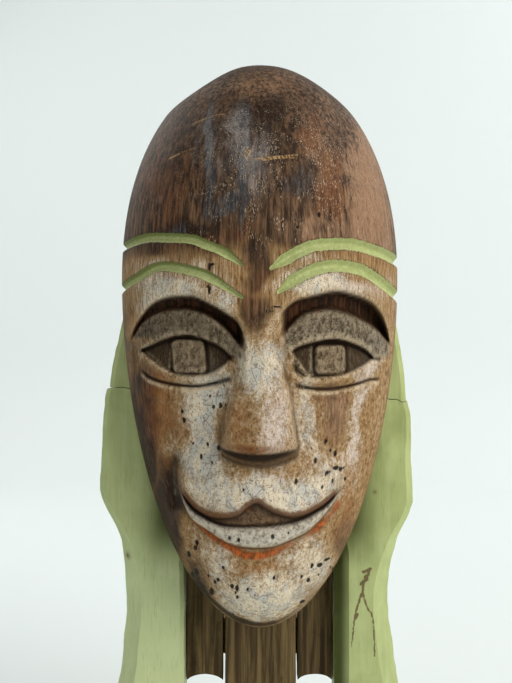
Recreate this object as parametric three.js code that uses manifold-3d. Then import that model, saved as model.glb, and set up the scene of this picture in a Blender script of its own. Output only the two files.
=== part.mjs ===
// A carved wooden mask that stands on its own: a hollowed face carved from one block, screwed from behind
// to two painted side posts, with three thin boards between the posts and two battens across the back.
// Millimetres, +Z up, the face looks towards -Y. The drawing frame used here has y = 0 on the flat back of
// the face, z = 0 on the table and x = 0 on the middle plane. The last group moves the box's centre onto
// the Z axis.
import * as THREE from "three";
import { mergeVertices } from "three/addons/utils/BufferGeometryUtils.js";
import { ParametricGeometry } from "three/addons/geometries/ParametricGeometry.js";
import Module from "manifold-3d";

const wasm = await Module();
wasm.setup();

// ---- Driving dimensions -------------------------------------------------------------------------------
const GAP = 0.3; // between pieces that touch

const FACE = { crown: 457.5, widest: 322.5, chin: 112, halfWidth: 84.9, depth: 84 };
const HOLLOW = { crown: 436, widest: 322.5, chin: 132, halfWidth: 67, depth: 58 };
const EYE = { x: 43, z: 279 };
const NOSE = { bridge: 293, base: 222, bridgeHalf: 8.5, baseHalf: 22, rise: 16 };
const MOUTH = { z: 184, half: 47, curl: 0.0086 }; // the middle of the lip line, and how much it curls up
const CHIN_Z = 146;

const POST = { front: GAP, back: 36, inner: 47.6, backChamfer: 2, footReach: 46, flareTop: 78 };
const SEAM = { left: 257.5, right: 250 }; // where each post's upper block is glued on
const BLOCK_TOP = 350;
const BLOCK_SLOPE = 0.226; // how much the upper block narrows for each unit of height

const BOARD = { sideThick: 14, centreThick: 18, sideTop: 338, centreTop: 346, centreFoot: 4 };
const CENTRE_BOARD = { left: -22.4, right: 23.8 };
const CRACK = { left: 0.7, right: 0.5 }; // the open joints beside the centre board
const ARCH = { ends: 66, crown: 71.5 }; // the arched lower ends of the side boards

const BATTEN = { halfLength: 74, height: 25, thick: 12, upper: 299, lower: 92.5 };
const DOWEL = { radius: 5, halfLength: 20, x: 62 };

const BATTEN_SCREW = { radius: 1.75, headRadius: 3.5, headHeight: 2.4, length: 21.5 };
const FACE_SCREW = { radius: 2.5, headRadius: 4.8, headHeight: 3.2, length: 42 };
const HANGER_SCREW = { radius: 1.4, headRadius: 2.8, headHeight: 1.6, length: 11 };
const COUNTERBORE = 12; // depth of the wide hole behind each face screw

const HANGER = { plateWidth: 11, plateThick: 1.2, plateLength: 26, eyeRadius: 2.9, eyeBore: 1.8 };
const HANGER_PLACE = { x: 0.7, z: 341 }; // the middle of the eye that the ring turns in
const RING = { wire: 1.2, halfBar: 9.5, drop: 19 };

const backFace = POST.back; // the shared back plane of posts and boards
const battenBack = backFace + GAP + BATTEN.thick;

// ---- Materials ----------------------------------------------------------------------------------------
const wood = (color, roughness) => new THREE.MeshStandardMaterial({ color, roughness, metalness: 0 });
const steel = (color) => new THREE.MeshStandardMaterial({ color, roughness: 0.4, metalness: 0.9 });
const MATERIAL = {
  face: wood(0x9c8468, 0.6),
  greenPaint: wood(0xa0ab76, 0.55),
  board: wood(0x5d4e36, 0.75),
  batten: wood(0x77664a, 0.75),
  dowel: wood(0xb99a6b, 0.7),
  screw: steel(0x9a8f70),
  hanger: steel(0xa8a8a4),
};

// ---- Solid helpers ------------------------------------------------------------------------------------
// Keeps only the positions, joins the shared corners and drops the triangles that collapse to a line.
function sealed(geometry) {
  geometry.deleteAttribute("normal");
  geometry.deleteAttribute("uv");
  const merged = mergeVertices(geometry, 1e-4);
  const index = Array.from(merged.index.array);
  const kept = [];
  for (let i = 0; i < index.length; i += 3) {
    const [a, b, c] = index.slice(i, i + 3);
    if (a !== b && b !== c && c !== a) kept.push(a, b, c);
  }
  merged.setIndex(kept);
  return merged;
}

function toSolid(geometry) {
  const closed = sealed(geometry);
  const solid = new wasm.Manifold(
    new wasm.Mesh({
      numProp: 3,
      vertProperties: new Float32Array(closed.attributes.position.array),
      triVerts: new Uint32Array(closed.index.array),
    }),
  );
  return solid;
}

function toGeometry(solid) {
  const mesh = solid.getMesh();
  const geometry = new THREE.BufferGeometry();
  const positions = new Float32Array(mesh.vertProperties);
  geometry.setAttribute("position", new THREE.BufferAttribute(positions, 3));
  geometry.setIndex(new THREE.BufferAttribute(new Uint32Array(mesh.triVerts), 1));
  const flat = geometry.toNonIndexed();
  flat.computeVertexNormals();
  return flat;
}

// Cuts each of the cutters out of a geometry.
function cut(geometry, cutters) {
  let solid = toSolid(geometry);
  for (const cutter of cutters) solid = solid.subtract(toSolid(cutter));
  return toGeometry(solid);
}

// A closed solid through rings of points: every ring has the same number of corners, counter-clockwise seen
// from the end that the rings run towards. An endless loft joins its last ring to its first.
function loft(rings, endless = false) {
  const size = rings[0].length;
  const positions = rings.flat().flatMap((p) => [p.x, p.y, p.z]);
  const index = [];
  const spans = endless ? rings.length : rings.length - 1;
  for (let r = 0; r < spans; r++) {
    const next = (r + 1) % rings.length;
    for (let i = 0; i < size; i++) {
      const j = (i + 1) % size;
      index.push(r * size + i, r * size + j, next * size + j);
      index.push(r * size + i, next * size + j, next * size + i);
    }
  }
  if (!endless) {
    const last = (rings.length - 1) * size;
    for (let i = 1; i < size - 1; i++) {
      index.push(0, i + 1, i);
      index.push(last, last + i, last + i + 1);
    }
  }
  const geometry = new THREE.BufferGeometry();
  geometry.setAttribute("position", new THREE.Float32BufferAttribute(positions, 3));
  geometry.setIndex(index);
  return geometry;
}

function node(name, geometry, material) {
  const mesh = new THREE.Mesh(geometry, material);
  mesh.name = name;
  return mesh;
}

// ---- The carved face ----------------------------------------------------------------------------------
// An egg-shaped half shell. "up" runs from -90 degrees at the chin to 90 at the crown, and "round" from
// -90 to 90 across.
function eggPoint(egg, up, round, target) {
  const t = Math.abs(Math.sin(up));
  const top = up > 0;
  const fullness = top ? 1 + 0.05 * Math.sin(Math.PI * t * t) : 1 - 0.04 * Math.sin(Math.PI * t);
  const width = egg.halfWidth * Math.cos(up) * fullness;
  const jaw = (1 - 0.16 * t) * Math.pow(Math.max(0, 1 - t ** 6), 0.4);
  const depth = egg.depth * (top ? Math.cos(up) * fullness : jaw);
  const z = egg.widest + (top ? egg.crown - egg.widest : egg.widest - egg.chin) * Math.sin(up);
  return target.set(width * Math.sin(round), -depth * Math.cos(round), z);
}

// Rises smoothly from 0 to 1 as the value goes from one level to the other.
const rise = (from, to, value) => THREE.MathUtils.smoothstep(value, from, to);

// How far the carving stands out from the egg (positive) or is cut into it (negative) at a point of its
// front view.
function relief(x, z) {
  const side = Math.abs(x);
  const spot = (halfWidth, halfHeight, height, centre = 0) =>
    Math.exp(-(Math.hypot((side - centre) / halfWidth, (z - height) / halfHeight) ** 4));
  const eyes = 7 * spot(24, 11, EYE.z, EYE.x) - 10 * spot(32, 24, EYE.z + 10, EYE.x);
  const fall = THREE.MathUtils.clamp((NOSE.bridge - z) / (NOSE.bridge - NOSE.base), 0, 1);
  const noseHalf = THREE.MathUtils.lerp(NOSE.bridgeHalf, NOSE.baseHalf, fall);
  const along = rise(NOSE.base - 9, NOSE.base, z) * (1 - rise(NOSE.bridge, NOSE.bridge + 26, z));
  const nose = THREE.MathUtils.lerp(6, NOSE.rise, fall) * Math.exp(-((side / noseHalf) ** 4)) * along;
  const lipLine = MOUTH.z + MOUTH.curl * x * x;
  const ridge = (offset, width) => Math.exp(-(((z - lipLine - offset) / width) ** 2));
  const corners = 1 - rise(MOUTH.half - 12, MOUTH.half, side);
  const lips = (3 * ridge(10, 7) - 4 * ridge(0, 4) + 3.5 * ridge(-8, 6)) * corners;
  return eyes + nose + lips + 4 * spot(30, 20, CHIN_Z);
}

function faceGeometry() {
  const across = 40; // steps across the carved front
  const inside = 8; // steps across the hollow
  const rows = 72;
  const slices = across + inside + 2;
  const surface = (u, v, target) => {
    const level = 2 * v - 1;
    const up = Math.asin(0.65 * level + 0.35 * Math.sin((level * Math.PI) / 2));
    const step = Math.round(u * slices) % slices;
    if (step <= across) {
      const round = (step / across - 0.5) * Math.PI;
      eggPoint(FACE, up, round, target);
      const fade = Math.pow(Math.cos(round), 0.75) * rise(0, 0.25, Math.cos(up));
      target.y -= relief(target.x, target.z) * fade;
    } else {
      const round = (0.5 - (step - across - 1) / inside) * Math.PI;
      eggPoint(HOLLOW, up, round, target);
    }
  };
  return new ParametricGeometry(surface, slices, rows);
}

// ---- Posts and upper blocks ---------------------------------------------------------------------------
// The outer edge of a post, from the floor up: a flared foot, a slim waist and a wide shoulder.
const postEdge = (shoulder, seam) =>
  new THREE.SplineCurve(
    [
      [100, 0],
      [97.8, 20],
      [92.5, 45],
      [87, 73],
      [83.6, 100],
      [82.3, 120],
      [82.9, 138],
      [84.8, 155],
      [89, 170],
      [94.6, 181],
      [shoulder - 0.5, 190],
      [shoulder, 205],
      [shoulder - 1, 234],
      [shoulder - 3, seam],
    ].map(([x, z]) => new THREE.Vector2(x, z)),
  );

// One eight-cornered section of a post, for the side with x > 0: chamfered at the front, eased at the back.
function section(z, outer, front, outerChamfer, innerChamfer) {
  const { inner, back, backChamfer } = POST;
  return [
    [inner, front + innerChamfer],
    [inner + innerChamfer, front],
    [outer - outerChamfer, front],
    [outer, front + outerChamfer],
    [outer, back - backChamfer],
    [outer - backChamfer, back],
    [inner + backChamfer, back],
    [inner, back - backChamfer],
  ].map(([x, y]) => new THREE.Vector3(x, y, z));
}

// Rings for the other side are mirrored, and turned round so that they still run counter-clockwise.
const mirroredRing = (ring) => ring.map((p) => new THREE.Vector3(-p.x, p.y, p.z)).reverse();
const mirrored = (rings) => rings.map(mirroredRing);

function postRings(shoulder, seam) {
  const steps = 34;
  const edge = postEdge(shoulder, seam - GAP);
  return Array.from({ length: steps + 1 }, (_, i) => {
    const { x: outer, y: z } = edge.getPoint(i / steps);
    const flare = Math.max(0, 1 - z / POST.flareTop);
    const front = POST.front - POST.footReach * flare * flare;
    const innerChamfer = 9 - 7.5 * rise(150, 185, z);
    const outerChamfer = 10 - 6 * rise(90, 180, z);
    return section(z, outer, front, outerChamfer, innerChamfer);
  });
}

function blockRings(shoulder, seam) {
  const base = shoulder - 4.2;
  return [seam, BLOCK_TOP - 4, BLOCK_TOP].map((z, i) => {
    const outer = base - BLOCK_SLOPE * (z - seam) - (i === 2 ? 4 : 0);
    return section(z, outer, POST.front, 3.5, 1.5);
  });
}

// ---- Fasteners ----------------------------------------------------------------------------------------
// A countersunk screw that points towards -Y, with the face of its head at y = 0. Extra is the clearance
// around it.
function screwGeometry(screw, extra = 0, sides = 8) {
  const { radius, headRadius, headHeight, length } = screw;
  const profile = [
    [0, -length - extra],
    [radius * 0.35 + extra, -length + radius - extra],
    [radius + extra, -length + 3 * radius],
    [radius + extra, -headHeight - extra],
    [headRadius + extra, -extra],
    [headRadius + extra, extra],
    [0, extra],
  ].map(([x, y]) => new THREE.Vector2(x, y));
  return new THREE.LatheGeometry(profile, sides);
}

const rod = (radius, length, sides = 12) => new THREE.CylinderGeometry(radius, radius, length, sides);

function placed(geometry, x, y, z, turnX = 0) {
  return geometry.rotateX(turnX).translate(x, y, z);
}

// The clearance hole of a screw whose head face is at (x, y, z), open behind as far as "behind".
function screwHole(screw, x, y, z, behind = 1) {
  const body = toSolid(screwGeometry(screw, GAP));
  const mouth = toSolid(placed(rod(screw.headRadius + GAP, behind, 8), 0, behind / 2, 0));
  return toGeometry(body.add(mouth)).translate(x, y, z);
}

const battenScrewXs = [-62, -35, 0.7, 36, 62]; // one in each post and board
const battenScrews = [];
for (const [level, z] of [
  ["upper", BATTEN.upper],
  ["lower", BATTEN.lower],
]) {
  battenScrewXs.forEach((x, i) => battenScrews.push({ name: `${level}_batten_screw_${i + 1}`, x, z }));
}

const faceScrews = [
  { name: "face_screw_upper_left", x: -77, z: 272 },
  { name: "face_screw_upper_right", x: 77, z: 272 },
  { name: "face_screw_lower_left", x: -61, z: 205 },
  { name: "face_screw_lower_right", x: 61, z: 205 },
];
const faceScrewY = backFace - COUNTERBORE;

const hangerScrews = [
  { name: "hanger_screw_upper", z: HANGER_PLACE.z - 9 },
  { name: "hanger_screw_lower", z: HANGER_PLACE.z - 19 },
];
const hangerX = HANGER_PLACE.x;
const plateBack = backFace + GAP + HANGER.plateThick;

const battenHoles = battenScrews.map(({ x, z }) => screwHole(BATTEN_SCREW, x, battenBack - GAP, z, 2));
const faceHoles = faceScrews.map(({ x, z }) => screwHole(FACE_SCREW, x, faceScrewY, z, COUNTERBORE + 2));
const hangerHoles = hangerScrews.map(({ z }) => screwHole(HANGER_SCREW, hangerX, plateBack + GAP, z, 1));

// The holes whose boxes pass a test, such as those that go through one piece.
const near = (holes, test) =>
  holes.filter((hole) => {
    hole.computeBoundingBox();
    return test(hole.boundingBox);
  });

// ---- Boards, battens and the hanger -------------------------------------------------------------------
// A board drawn in the front view and extruded backwards to the shared back plane, with eased edges.
function boardGeometry(shape, thick, ease = 0.8) {
  const depth = thick - 2 * ease;
  const board = new THREE.ExtrudeGeometry(shape, {
    depth,
    bevelThickness: ease,
    bevelSize: ease,
    bevelOffset: -ease,
    bevelSegments: 1,
    curveSegments: 10,
  });
  return board.rotateX(Math.PI / 2).translate(0, backFace - ease, 0);
}

// A side board: straight sides, a square top behind the face and an arched lower end.
function sideBoardShape(left, right) {
  const half = (right - left) / 2;
  const rise = ARCH.crown - ARCH.ends;
  const radius = (half * half + rise * rise) / (2 * rise);
  const middle = (left + right) / 2;
  const spread = Math.asin(half / radius);
  const start = Math.PI / 2 + spread;
  const centre = ARCH.crown - radius;
  const arch = new THREE.EllipseCurve(middle, centre, radius, radius, start, Math.PI - start, true);
  const top = [new THREE.Vector2(right, BOARD.sideTop), new THREE.Vector2(left, BOARD.sideTop)];
  return new THREE.Shape([...top, ...arch.getPoints(10)]);
}

function rectangle(left, right, bottom, top) {
  const corners = [
    [left, bottom],
    [right, bottom],
    [right, top],
    [left, top],
  ];
  return new THREE.Shape(corners.map(([x, z]) => new THREE.Vector2(x, z)));
}

function battenGeometry(z) {
  const { halfLength, height, thick } = BATTEN;
  const shape = rectangle(-halfLength, halfLength, z - height / 2, z + height / 2);
  return boardGeometry(shape, thick).translate(0, battenBack - backFace, 0);
}

// The hanger's plate, with the eye that the ring's straight bar turns in.
function hangerPlateGeometry() {
  const { plateWidth, plateThick, plateLength, eyeRadius, eyeBore } = HANGER;
  const eyeZ = HANGER_PLACE.z;
  const strip = new THREE.BoxGeometry(plateWidth, plateThick, plateLength);
  const plate = toSolid(placed(strip, 0, plateThick / 2, eyeZ - plateLength / 2));
  const along = (radius, length) => rod(radius, length, 20).rotateZ(Math.PI / 2);
  const eye = toSolid(placed(along(eyeRadius, plateWidth), 0, eyeRadius, eyeZ));
  const bore = toSolid(placed(along(eyeBore, plateWidth + 2), 0, eyeRadius, eyeZ));
  const joined = toGeometry(plate.add(eye).subtract(bore)).translate(hangerX, backFace + GAP, 0);
  return cut(joined, hangerHoles);
}

// The hanging ring: a straight bar, two legs and a round bow below, all from one wire.
function ringGeometry() {
  const { wire, halfBar, drop } = RING;
  const corner = 2.4;
  const bow = drop - halfBar;
  const arc = (cx, cz, radius, from, to, steps) =>
    Array.from({ length: steps + 1 }, (_, i) => {
      const angle = THREE.MathUtils.lerp(from, to, i / steps);
      return new THREE.Vector3(cx + radius * Math.cos(angle), 0, cz + radius * Math.sin(angle));
    });
  const path = [
    new THREE.Vector3(0, 0, 0),
    ...arc(halfBar - corner, -corner, corner, Math.PI / 2, 0, 3),
    ...arc(0, -bow, halfBar, 0, -Math.PI, 14),
    ...arc(corner - halfBar, -corner, corner, Math.PI, Math.PI / 2, 3),
  ];
  const rings = path.map((point, i) => {
    const before = path[(i + path.length - 1) % path.length];
    const after = path[(i + 1) % path.length];
    const ahead = after.clone().sub(before).normalize();
    const outward = new THREE.Vector3(ahead.z, 0, -ahead.x);
    return Array.from({ length: 8 }, (_, k) => {
      const angle = (k / 8) * 2 * Math.PI;
      const around = outward.clone().multiplyScalar(wire * Math.cos(angle));
      return point.clone().add(around).add(new THREE.Vector3(0, wire * Math.sin(angle), 0));
    });
  });
  return loft(rings, true).translate(hangerX, backFace + GAP + HANGER.eyeRadius, HANGER_PLACE.z);
}

// ---- Assembly -----------------------------------------------------------------------------------------
const carving = new THREE.Group();
const add = (name, geometry, material) => carving.add(node(name, geometry, material));

add("carved_face", cut(faceGeometry(), faceHoles), MATERIAL.face);

for (const [side, seam, shoulder] of [
  ["left", SEAM.left, 98.4],
  ["right", SEAM.right, 96.9],
]) {
  const sign = side === "left" ? -1 : 1;
  const turned = (rings) => loft(sign < 0 ? mirrored(rings) : rings);
  const isHere = (box) => sign * (box.min.x + box.max.x) > 80;
  const post = turned(postRings(shoulder, seam));
  const block = turned(blockRings(shoulder, seam));
  const dowelHole = placed(rod(DOWEL.radius + GAP, 2 * DOWEL.halfLength + 2 * GAP), 0, 0, 0, Math.PI / 2);
  dowelHole.translate(sign * DOWEL.x, backFace / 2, seam);
  const screwed = [...near(battenHoles, isHere), ...near(faceHoles, isHere)];
  const below = (box) => box.max.z < seam;
  const above = (box) => box.min.z > seam;
  add(`${side}_post`, cut(post, [dowelHole, ...near(screwed, below)]), MATERIAL.greenPaint);
  add(`${side}_upper_block`, cut(block, [dowelHole, ...near(screwed, above)]), MATERIAL.greenPaint);
  const dowel = placed(rod(DOWEL.radius, 2 * DOWEL.halfLength), 0, 0, 0, Math.PI / 2);
  dowel.translate(sign * DOWEL.x, backFace / 2, seam);
  add(`${side}_post_dowel`, dowel, MATERIAL.dowel);
}

const boards = [
  ["left_board", -POST.inner + GAP, CENTRE_BOARD.left - CRACK.left],
  ["right_board", CENTRE_BOARD.right + CRACK.right, POST.inner - GAP],
];
for (const [name, left, right] of boards) {
  const isHere = (box) => (box.min.x + box.max.x) / 2 > left && (box.min.x + box.max.x) / 2 < right;
  const board = boardGeometry(sideBoardShape(left, right), BOARD.sideThick);
  add(name, cut(board, near(battenHoles, isHere)), MATERIAL.board);
}
const centreShape = rectangle(CENTRE_BOARD.left, CENTRE_BOARD.right, BOARD.centreFoot, BOARD.centreTop);
const centreHoles = near([...battenHoles, ...hangerHoles], (box) => Math.abs(box.min.x + box.max.x) < 10);
add("centre_board", cut(boardGeometry(centreShape, BOARD.centreThick), centreHoles), MATERIAL.board);

for (const level of ["upper", "lower"]) {
  const z = BATTEN[level];
  const isHere = (box) => Math.abs((box.min.z + box.max.z) / 2 - z) < BATTEN.height / 2;
  add(`${level}_batten`, cut(battenGeometry(z), near(battenHoles, isHere)), MATERIAL.batten);
}

for (const { name, x, z } of battenScrews) {
  add(name, placed(screwGeometry(BATTEN_SCREW), x, battenBack - GAP, z), MATERIAL.screw);
}
for (const { name, x, z } of faceScrews) {
  add(name, placed(screwGeometry(FACE_SCREW), x, faceScrewY, z), MATERIAL.screw);
}
add("hanger_plate", hangerPlateGeometry(), MATERIAL.hanger);
add("hanger_ring", ringGeometry(), MATERIAL.hanger);
for (const { name, z } of hangerScrews) {
  add(name, placed(screwGeometry(HANGER_SCREW), hangerX, plateBack + GAP, z), MATERIAL.screw);
}

// The box's middle goes onto the Z axis.
const box = new THREE.Box3().setFromObject(carving);
carving.position.set(-(box.min.x + box.max.x) / 2, -(box.min.y + box.max.y) / 2, 0);
const mask = new THREE.Group();
mask.add(carving);

export default mask;
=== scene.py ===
"""A carved wooden mask: a hollowed egg-shaped face on two green-painted posts, with boards behind it.

Shapes are drawn in millimetres in the carving's own frame: x to the right, z up from the table, and "out"
towards the viewer from the flat back of the face. at() turns them into the scene's metres.
"""

import math

import bmesh
import bpy
import numpy as np
from mathutils import Matrix, Vector


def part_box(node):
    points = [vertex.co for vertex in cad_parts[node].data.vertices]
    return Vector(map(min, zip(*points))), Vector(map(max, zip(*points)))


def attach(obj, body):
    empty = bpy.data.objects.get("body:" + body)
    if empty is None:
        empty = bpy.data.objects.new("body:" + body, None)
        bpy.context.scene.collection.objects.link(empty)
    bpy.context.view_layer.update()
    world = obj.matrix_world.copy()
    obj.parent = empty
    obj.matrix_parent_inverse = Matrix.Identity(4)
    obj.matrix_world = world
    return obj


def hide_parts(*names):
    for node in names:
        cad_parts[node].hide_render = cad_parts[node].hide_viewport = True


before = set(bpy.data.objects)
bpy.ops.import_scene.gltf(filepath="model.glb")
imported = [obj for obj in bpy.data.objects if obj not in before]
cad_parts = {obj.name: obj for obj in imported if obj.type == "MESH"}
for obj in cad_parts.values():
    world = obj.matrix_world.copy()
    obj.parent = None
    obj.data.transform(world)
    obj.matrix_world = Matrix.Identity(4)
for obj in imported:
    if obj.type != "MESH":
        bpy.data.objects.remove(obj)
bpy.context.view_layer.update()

MM = 0.001
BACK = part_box("carved_face")[1][1]  # where "out" is zero
PANEL_BACK = (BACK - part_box("centre_board")[1][1]) / MM  # the posts' and boards' back plane, as an "out"
FAR = 9.0  # what a distance in a mesh's values says where nothing is near

# The carved face, in millimetres
CROWN, WIDEST, CHIN = 457.5, 322.5, 112.0
HALF_WIDTH = 84.9
DEPTH = 84.0
EDGE_WALL = 4.0  # the plain band around the face at its back
HOLLOW = {"crown": 436.0, "chin": 132.0, "half_width": 67.0, "depth": 58.0}
GRID = (280, 410)  # steps across and up the carved front
GAP = 0.3  # between pieces that meet


# ---- Numbers ----
def rise(low, high, value):
    """Goes smoothly from 0 at low to 1 at high, and the other way where low is the larger."""
    t = np.clip((value - low) / (high - low), 0, 1)
    return t * t * (3 - 2 * t)


def hump(value, width):
    """A bump, 1 high at 0 and almost gone at twice the width."""
    return np.exp(-((value / width) ** 2))


def lattice(x, z, cell, seed):
    """Smooth noise between -1 and 1, with about one bump per cell."""
    values = np.random.default_rng(seed).uniform(-1, 1, (257, 257))
    u, v = x / cell + 97.3, z / cell + 61.7
    i, j = np.floor(u).astype(int), np.floor(v).astype(int)
    fu, fv = u - i, v - j
    fu, fv = fu * fu * (3 - 2 * fu), fv * fv * (3 - 2 * fv)
    i, j = i % 256, j % 256
    low = values[i, j] * (1 - fu) + values[i + 1, j] * fu
    high = values[i, j + 1] * (1 - fu) + values[i + 1, j + 1] * fu
    return low * (1 - fv) + high * fv


def curve(points, steps=8):
    """A smooth line (Catmull-Rom) through a few points."""
    p = np.array(points, float)
    p = np.vstack([2 * p[0] - p[1], p, 2 * p[-1] - p[-2]])
    out = []
    for a, b, c, d in zip(p, p[1:], p[2:], p[3:]):
        for t in np.arange(steps) / steps:
            bend = 2 * a - 5 * b + 4 * c - d
            out.append(b + 0.5 * t * ((c - a) + t * (bend + t * (3 * (b - c) + d - a))))
    out.append(p[-2])
    return np.array(out)


def height_of(points, x):
    """The height of a line that runs from left to right, at each x."""
    line = curve(points)
    return np.interp(x, line[:, 0], line[:, 1])


def near(line, x, z):
    """Each point's distance to a line, how far along it that is (0 to 1), and which side (+1 is above)."""
    line = np.asarray(line, float)
    best = np.full(x.shape, 1e9)
    along = np.zeros(x.shape)
    side = np.ones(x.shape)
    spans = len(line) - 1
    for k, (a, b) in enumerate(zip(line, line[1:])):
        ab = b - a
        t = np.clip(((x - a[0]) * ab[0] + (z - a[1]) * ab[1]) / max(ab @ ab, 1e-9), 0, 1)
        dx, dz = x - a[0] - t * ab[0], z - a[1] - t * ab[1]
        d = np.hypot(dx, dz)
        closer = d < best
        best = np.where(closer, d, best)
        along = np.where(closer, (k + t) / spans, along)
        side = np.where(closer, np.sign(ab[0] * dz - ab[1] * dx), side)
    return best, along, side


def closest(distances):
    """The smallest of several grids of distances, and nowhere more than FAR."""
    return np.minimum(np.minimum.reduce(list(distances)), FAR)


def box_mm(node):
    """The lowest and the highest corner of a CAD solid, in millimetres."""
    low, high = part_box(node)
    return np.array(low) / MM, np.array(high) / MM


# ---- Meshes ----
def at(x, out, z):
    """A point of the carving's frame as scene coordinates."""
    x, out, z = np.broadcast_arrays(np.asarray(x, float), out, z)
    return np.stack([x * MM, BACK - out * MM, z * MM], axis=-1)


def add_object(name, data):
    made = bpy.data.objects.new(name, data)
    bpy.context.scene.collection.objects.link(made)
    return made


def add_mesh(name, points, faces, material):
    mesh = bpy.data.meshes.new(name)
    mesh.from_pydata(np.asarray(points).reshape(-1, 3).tolist(), [], [list(map(int, f)) for f in faces])
    mesh.update()
    mesh.polygons.foreach_set("use_smooth", [True] * len(mesh.polygons))
    mesh.materials.append(material)
    return add_object(name, mesh)


def new_piece(name, points, faces, material, node, body="mask"):
    """A visible piece that takes the place of a CAD solid."""
    piece = add_mesh(name, points, faces, material)
    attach(piece, body)
    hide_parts(node)
    return piece


def add_values(piece, name, values):
    """Stores one number for each of the mesh's points, for its material to read."""
    attribute = piece.data.attributes.new(name, "FLOAT", "POINT")
    attribute.data.foreach_set("value", np.asarray(values, np.float32).ravel())


def strip_faces(loops):
    """Quads between closed loops of point numbers, each loop after the one before."""
    faces = []
    for first, second in zip(loops, loops[1:]):
        a, b = np.asarray(first), np.asarray(second)
        faces.append(np.stack([np.roll(a, -1), a, b, np.roll(b, -1)], axis=-1))
    return np.concatenate(faces)


def closed_tube(rings, ends=None):
    """Points and faces of a tube through rings of equal length, with fans from its two end points."""
    size, count = len(rings[0]), len(rings)
    loops = np.arange(count * size).reshape(count, size)
    faces = strip_faces(loops).tolist()
    low, high = count * size, count * size + 1
    faces += [(b, a, high) for a, b in zip(loops[-1], np.roll(loops[-1], -1))]
    faces += [(a, b, low) for a, b in zip(loops[0], np.roll(loops[0], -1))]
    return np.concatenate([*rings, ends or [rings[0].mean(axis=0), rings[-1].mean(axis=0)]]), faces


# ---- The face's plain egg ----
def disc_points(u, v):
    """A square's points (-1 to 1) moved onto a disc, evenly spaced over the dome above it."""
    wide = np.abs(u) >= np.abs(v)
    r = np.where(wide, u, v)
    with np.errstate(divide="ignore", invalid="ignore"):
        angle = np.where(wide, math.pi / 4 * v / u, math.pi / 2 - math.pi / 4 * u / v)
    angle = np.nan_to_num(angle)
    length = np.sin(math.pi / 2 * r)
    return length * np.cos(angle), length * np.sin(angle)


def egg(sx, sz, crown, chin, half_width, depth, wall=0.0):
    """The point of an egg-shaped half shell over a disc point, as x, out and z."""
    t = np.clip(np.abs(sz), 0, 1)
    above = sz > 0
    power = np.where(above, 2.25, 1.85)
    level = np.sqrt(np.maximum(1 - t * t, 1e-12))
    across = np.clip(sx / level, -1, 1)
    half = half_width * np.sqrt(np.maximum(1 - t**power, 0))
    half = half * (1 - np.where(above, np.where(sx < 0, 0.17, 0.08) * rise(0.75, 0.97, t), 0))
    z = WIDEST + np.where(above, crown - WIDEST, WIDEST - chin) * sz
    jaw = (1 - 0.16 * t) * np.maximum(1 - t**6, 0) ** 0.4
    reach = depth * np.where(above, level * (1 + 0.05 * np.sin(math.pi * t * t)), jaw)
    round_off = np.sqrt(np.maximum(1 - across * across, 0))
    out = wall + (reach - wall * np.minimum(1, reach / 12)) * round_off
    return half * across, out, z


# ---- What is carved into the face ----
# The eyes. Ridges are left in the hollow beside a pupil: their two ends, half their width and their height.
EYES = [
    {
        "middle": -42.5,
        "half": 34.0,
        "hollow": 11.5,
        "deeper": 0.3,
        "lean": 0.08,
        "lid_shade": 0.6,
        "ridges": [(((-66, 281), (-50, 267.5)), 1.5, 0.7), (((-51.3, 286), (-51.5, 271)), 1.2, 1.2)],
        "brow": [(-77, 289), (-71, 298.5), (-63, 307.5), (-54.5, 311.5), (-42.5, 312.5), (-32.5, 310.5)]
        + [(-13.5, 299), (-8, 288)],
        "fold": [(-77, 288), (-68, 299), (-57, 304.5), (-42.5, 306), (-30, 303), (-20, 296), (-8, 283)],
        "upper": [(-69.5, 282), (-62, 285), (-53, 288.5), (-44, 290.2), (-36, 289.5), (-23, 284.5)]
        + [(-15, 277.5)],
        "lower": [(-69.5, 281.5), (-64.5, 277), (-57, 272), (-47, 267.8), (-36, 267.5), (-26.5, 269)]
        + [(-15, 277)],
        "crease": [(-69, 269.5), (-64, 266), (-56.5, 263.5), (-46, 262), (-36, 261.5), (-26.5, 263)]
        + [(-17.5, 265.5)],
        "pupil": (-49.2, -30.2, 269, 288),
    },
    {
        "middle": 45.0,
        "half": 33.0,
        "hollow": 13.0,
        "deeper": 0.2,
        "lean": 0.0,
        "lid_shade": 0.0,
        "ridges": [(((15.6, 281), (27, 267)), 1.7, 2.4), (((28.7, 284), (28.7, 268)), 1.9, 1.2)],
        "brow": [(9, 300), (18, 308.5), (26.5, 311.5), (42, 315), (51.5, 313.5), (61, 310.5), (68, 305.5)]
        + [(73, 298.5), (78, 287)],
        "fold": [(9, 288), (21, 301), (29, 304.5), (39, 306), (49, 304), (60, 299.5), (68.5, 294.5)]
        + [(78, 286)],
        "upper": [(13.5, 277.8), (18, 282), (24.5, 285), (38.5, 288), (47, 287.5), (54.5, 285), (61, 282)]
        + [(66.5, 277.5)],
        "lower": [(13.5, 277), (16.5, 272), (21, 268), (29, 266), (39, 266.5), (49, 268), (58.5, 272)]
        + [(66.5, 277)],
        "crease": [(16, 264), (22.5, 261.5), (32, 260), (42, 260), (52.5, 261.5), (64, 264.5)],
        "pupil": (31, 48.5, 268.5, 284.5),
    },
]
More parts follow.
